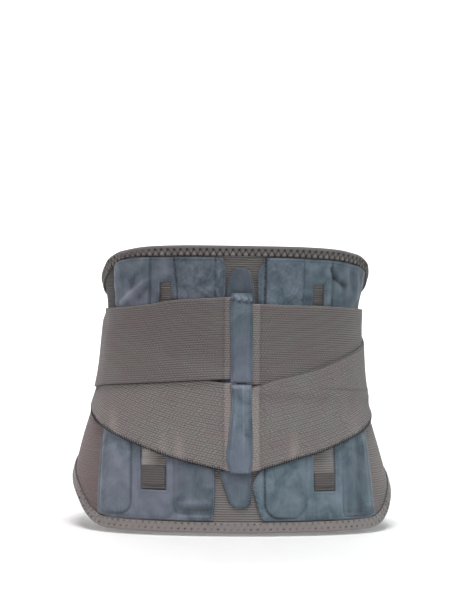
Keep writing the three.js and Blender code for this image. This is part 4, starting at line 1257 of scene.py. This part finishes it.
# sewn lines
seamLook = {
    "pitch": 3.4, "start": 0.3, "length": 2.3, "wide": 0.32, "arch": 0.25, "fromEdge": 1.5,
    "tackPitch": 2.4, "tackRows": (1.5, 5.6), "tackEnds": (0.6, 0.4), "tackPoints": 9,
}
seamLift = {"panel": 0.1, "tape": 0.05, "pad": -0.2, "tack": 0.1}  # above the cloth's face


# stitches at even steps along a line of reaches and heights; lift is a number or a function of the place
def stitchLine(reach, z, lift, pitch=seamLook["pitch"]):
    run = walked(reach, z)
    starts = np.arange(seamLook["start"], run[-1] - seamLook["length"], pitch)
    ends = starts + seamLook["length"]
    spots = [(np.interp(at, run, reach), np.interp(at, run, z)) for at in (starts, ends)]
    lifts = [lift(*spot) if callable(lift) else lift for spot in spots]
    begin, finish = (wrap(*spot, high) for spot, high in zip(spots, lifts))
    return begin, finish, wrap(*spots[0], lifts[0] + 1) - begin


def sewnPiece(title, lines, material):
    begin, finish, normal = (np.concatenate(part) for part in zip(*lines))
    threadPiece(title, begin, finish, normal, seamLook["wide"], seamLook["arch"], material)


# each pocket's seam runs down its inner side, round its foot and up its outer side, where no strap hides it
def panelSeams(side):
    def face(r, h):
        reach = np.abs(r)
        return panelFace(side, reach, h, *panelEnds(side, reach))[0] + seamLift["panel"]

    lines = []
    angle = np.radians(np.linspace(0, 90, 12))
    for pocket in pockets[side]:
        corner = pocket["round"]
        z = np.linspace(pocket["head"], pocket["foot"] + corner, 120)
        left, right = pocketSides(pocket, z)
        turnIn = corner * (1 - np.cos(angle))
        drop = pocket["foot"] + corner - corner * np.sin(angle)
        reach = np.concatenate([left, left[-1] + turnIn, right[-1] - turnIn[::-1], right[::-1]])
        height = np.concatenate([z, drop, drop[::-1], z[::-1]])
        low, high = panelEnds(side, reach)
        shown = (height > strapTop(side, reach)) | (height < strapFoot(side, reach))
        shown &= (height < high - seamLook["fromEdge"]) & (height > low + seamLook["fromEdge"])
        for part in np.split(np.arange(len(reach)), np.nonzero(np.diff(shown.astype(int)))[0] + 1):
            if shown[part[0]] and len(part) > 2:
                lines.append(stitchLine(side * reach[part], height[part], face))
    return lines


# a line inside each long edge of a centre tape
def tapeSeams(table):
    z = np.linspace(table["z"][0] - seamLook["fromEdge"], table["z"][-1] + seamLook["fromEdge"], 80)
    lift = table["lift"] + layers["suede"] + seamLift["tape"]
    inset = centre["hem"][0]
    left, right = curves(table, "z", "left", "right")
    return [stitchLine(left(z) + inset, z, lift), stitchLine(right(z) - inset, z, lift)]


# lines inside the pad's edges, where the tapes leave its head and foot bare
def padSeams():
    lift = spinePad["lift"] + spinePad["wall"] + seamLift["pad"]
    left, right = curves(spinePad, "z", "left", "right")
    lines = []
    for ends in spinePad["seams"]:
        z = np.linspace(*ends, 30)
        lines.append(stitchLine(left(z) + spinePad["hem"], z, lift))
        lines.append(stitchLine(right(z) - spinePad["hem"], z, lift))
    return lines


# bar tacks: two short rows of stitches on the elastic at the head of each upper window
def windowTacks():
    lift, count = layers["elastic"] + seamLift["tack"], seamLook["tackPoints"]
    lines = []
    for side in (-1, 1):
        left, right, _, top = windows[side][0]
        reach = side * np.linspace(right - seamLook["tackEnds"][1], left + seamLook["tackEnds"][0], count)
        for drop in seamLook["tackRows"]:
            lines.append(stitchLine(reach, np.full(count, top - drop), lift, seamLook["tackPitch"]))
    return lines


sewnPiece("panelSeamsLeft", panelSeams(-1), suedeThread)
sewnPiece("panelSeamsRight", panelSeams(1), suedeThread)
sewnPiece("upperTapeSeams", tapeSeams(upperTape), suedeThread)
sewnPiece("lowerTapeSeams", tapeSeams(lowerTape), suedeThread)
sewnPiece("padSeams", padSeams(), suedeThread)
sewnPiece("windowTacks", windowTacks(), paleThread)
print("seams sewn")

# floor, light and camera, in metres
stage = {  # the lens is 1805 pixels long where the photograph is 591 wide
    "floor": "#f2f2f2", "paper": (0.9, 0.0, 0.5, 0.25), "floorHeight": -0.2485, "flat": 2.6, "bend": 0.9,
    "wall": 3.2, "sky": "#ffffff", "world": 0.06,
    "distance": 2.0, "azimuth": -5.0, "side": 0.0025, "roll": 0.8, "sensor": 36, "lens": 1805 * 36 / 591,
}
lamps = {  # place, target, size, power and tint
    "skyLamp": ((0, -0.75, 2.5), (0, 0, -0.1), 1.6, 61, "#ffffff"),
    "leftLamp": ((-2.2, -1.2, 0.9), (0, 0, -0.1), 1.6, 8.5, "#ffe2de"),
    "rightLamp": ((2.2, -1.2, 0.9), (0, 0, -0.1), 1.6, 8.5, "#e0ffff"),
    "wallLamp": ((0, 1.6, 2.2), (0, 3.4, 0.4), 2.0, 90, "#ffffff"),  # lights only the paper behind the belt
}


# a round floor that curves up into a low wall all about, as a profile turned round the upright axis
def floorSweep():
    bend = np.radians(np.linspace(0, 90, 16))
    radius = np.append(stage["flat"] + stage["bend"] * np.sin(bend), stage["flat"] + stage["bend"])
    rise = np.append(stage["bend"] * (1 - np.cos(bend)), stage["wall"])
    around = np.radians(np.arange(0, 360, 5))
    rings, count = len(radius), len(around)
    x, y = radius[:, None] * np.cos(around), radius[:, None] * np.sin(around)
    points = np.stack([x, y, np.repeat(rise[:, None], count, 1)], -1).reshape(-1, 3)
    points = np.concatenate([points, [[0, 0, 0]]]) + [0, 0, stage["floorHeight"]]
    index = np.arange(rings * count).reshape(rings, count)
    turned = np.roll(index, -1, 1)
    walls = np.stack([index[:-1], turned[:-1], turned[1:], index[1:]], -1).reshape(-1, 4)[:, ::-1]
    centreFaces = np.stack([np.full(count, rings * count), index[0], turned[0]], -1)
    mesh = bpy.data.meshes.new("paperFloor")
    mesh.from_pydata(points.tolist(), [], walls.tolist() + centreFaces.tolist())
    mesh.polygons.foreach_set("use_smooth", np.ones(len(mesh.polygons), bool))
    material = newMaterial("whitePaper", stage["paper"])[0]  # matt studio paper, no texture to see
    surface = material.node_tree.nodes["Principled BSDF"].inputs
    surface["Base Color"].default_value = linear(stage["floor"])
    mesh.materials.append(material)
    floor = bpy.data.objects.new("paperFloor", mesh)
    bpy.context.scene.collection.objects.link(floor)


# puts a lamp or camera, which looks against its back axis, at a place
def standAt(name, data, right, up, back, place):
    stood = bpy.data.objects.new(name, data)
    stood.matrix_world = Matrix(np.vstack([np.column_stack([right, up, back, place]), [0, 0, 0, 1]]).tolist())
    bpy.context.scene.collection.objects.link(stood)
    return stood


def softLamp(name, place, target, size, power, tint):
    light = bpy.data.lights.new(name, "AREA")
    light.shape, light.size, light.energy = "DISK", size, power
    light.color = linear(tint)[:3]
    back = np.array(place, float) - np.array(target, float)
    back /= np.linalg.norm(back)
    right = np.cross([0, 0, 1], back)
    right /= np.linalg.norm(right)
    standAt(name, light, right, np.cross(back, right), back, place)


# level with the belt and turned round it by the azimuth, then rolled a little
def setCamera():
    turn, roll = math.radians(stage["azimuth"]), math.radians(stage["roll"])
    back = np.array([math.sin(turn), -math.cos(turn), 0])
    right = np.array([math.cos(turn), math.sin(turn), 0])
    up = np.array([0, 0, 1.0])
    level = right * math.cos(roll) + up * math.sin(roll)
    upright = up * math.cos(roll) - right * math.sin(roll)
    data = bpy.data.cameras.new("camera")
    data.sensor_width, data.lens = stage["sensor"], stage["lens"]
    place = back * stage["distance"] + right * stage["side"]
    bpy.context.scene.camera = standAt("camera", data, level, upright, back, place)


floorSweep()
for name, lamp in lamps.items():
    softLamp(name, *lamp)
world = bpy.data.worlds.new("studio")
bpy.context.scene.world = world
world.use_nodes = True
world.node_tree.nodes["Background"].inputs["Color"].default_value = linear(stage["sky"])
world.node_tree.nodes["Background"].inputs["Strength"].default_value = stage["world"]
bpy.context.scene.view_settings.view_transform = "Standard"
setCamera()
print("stage set")
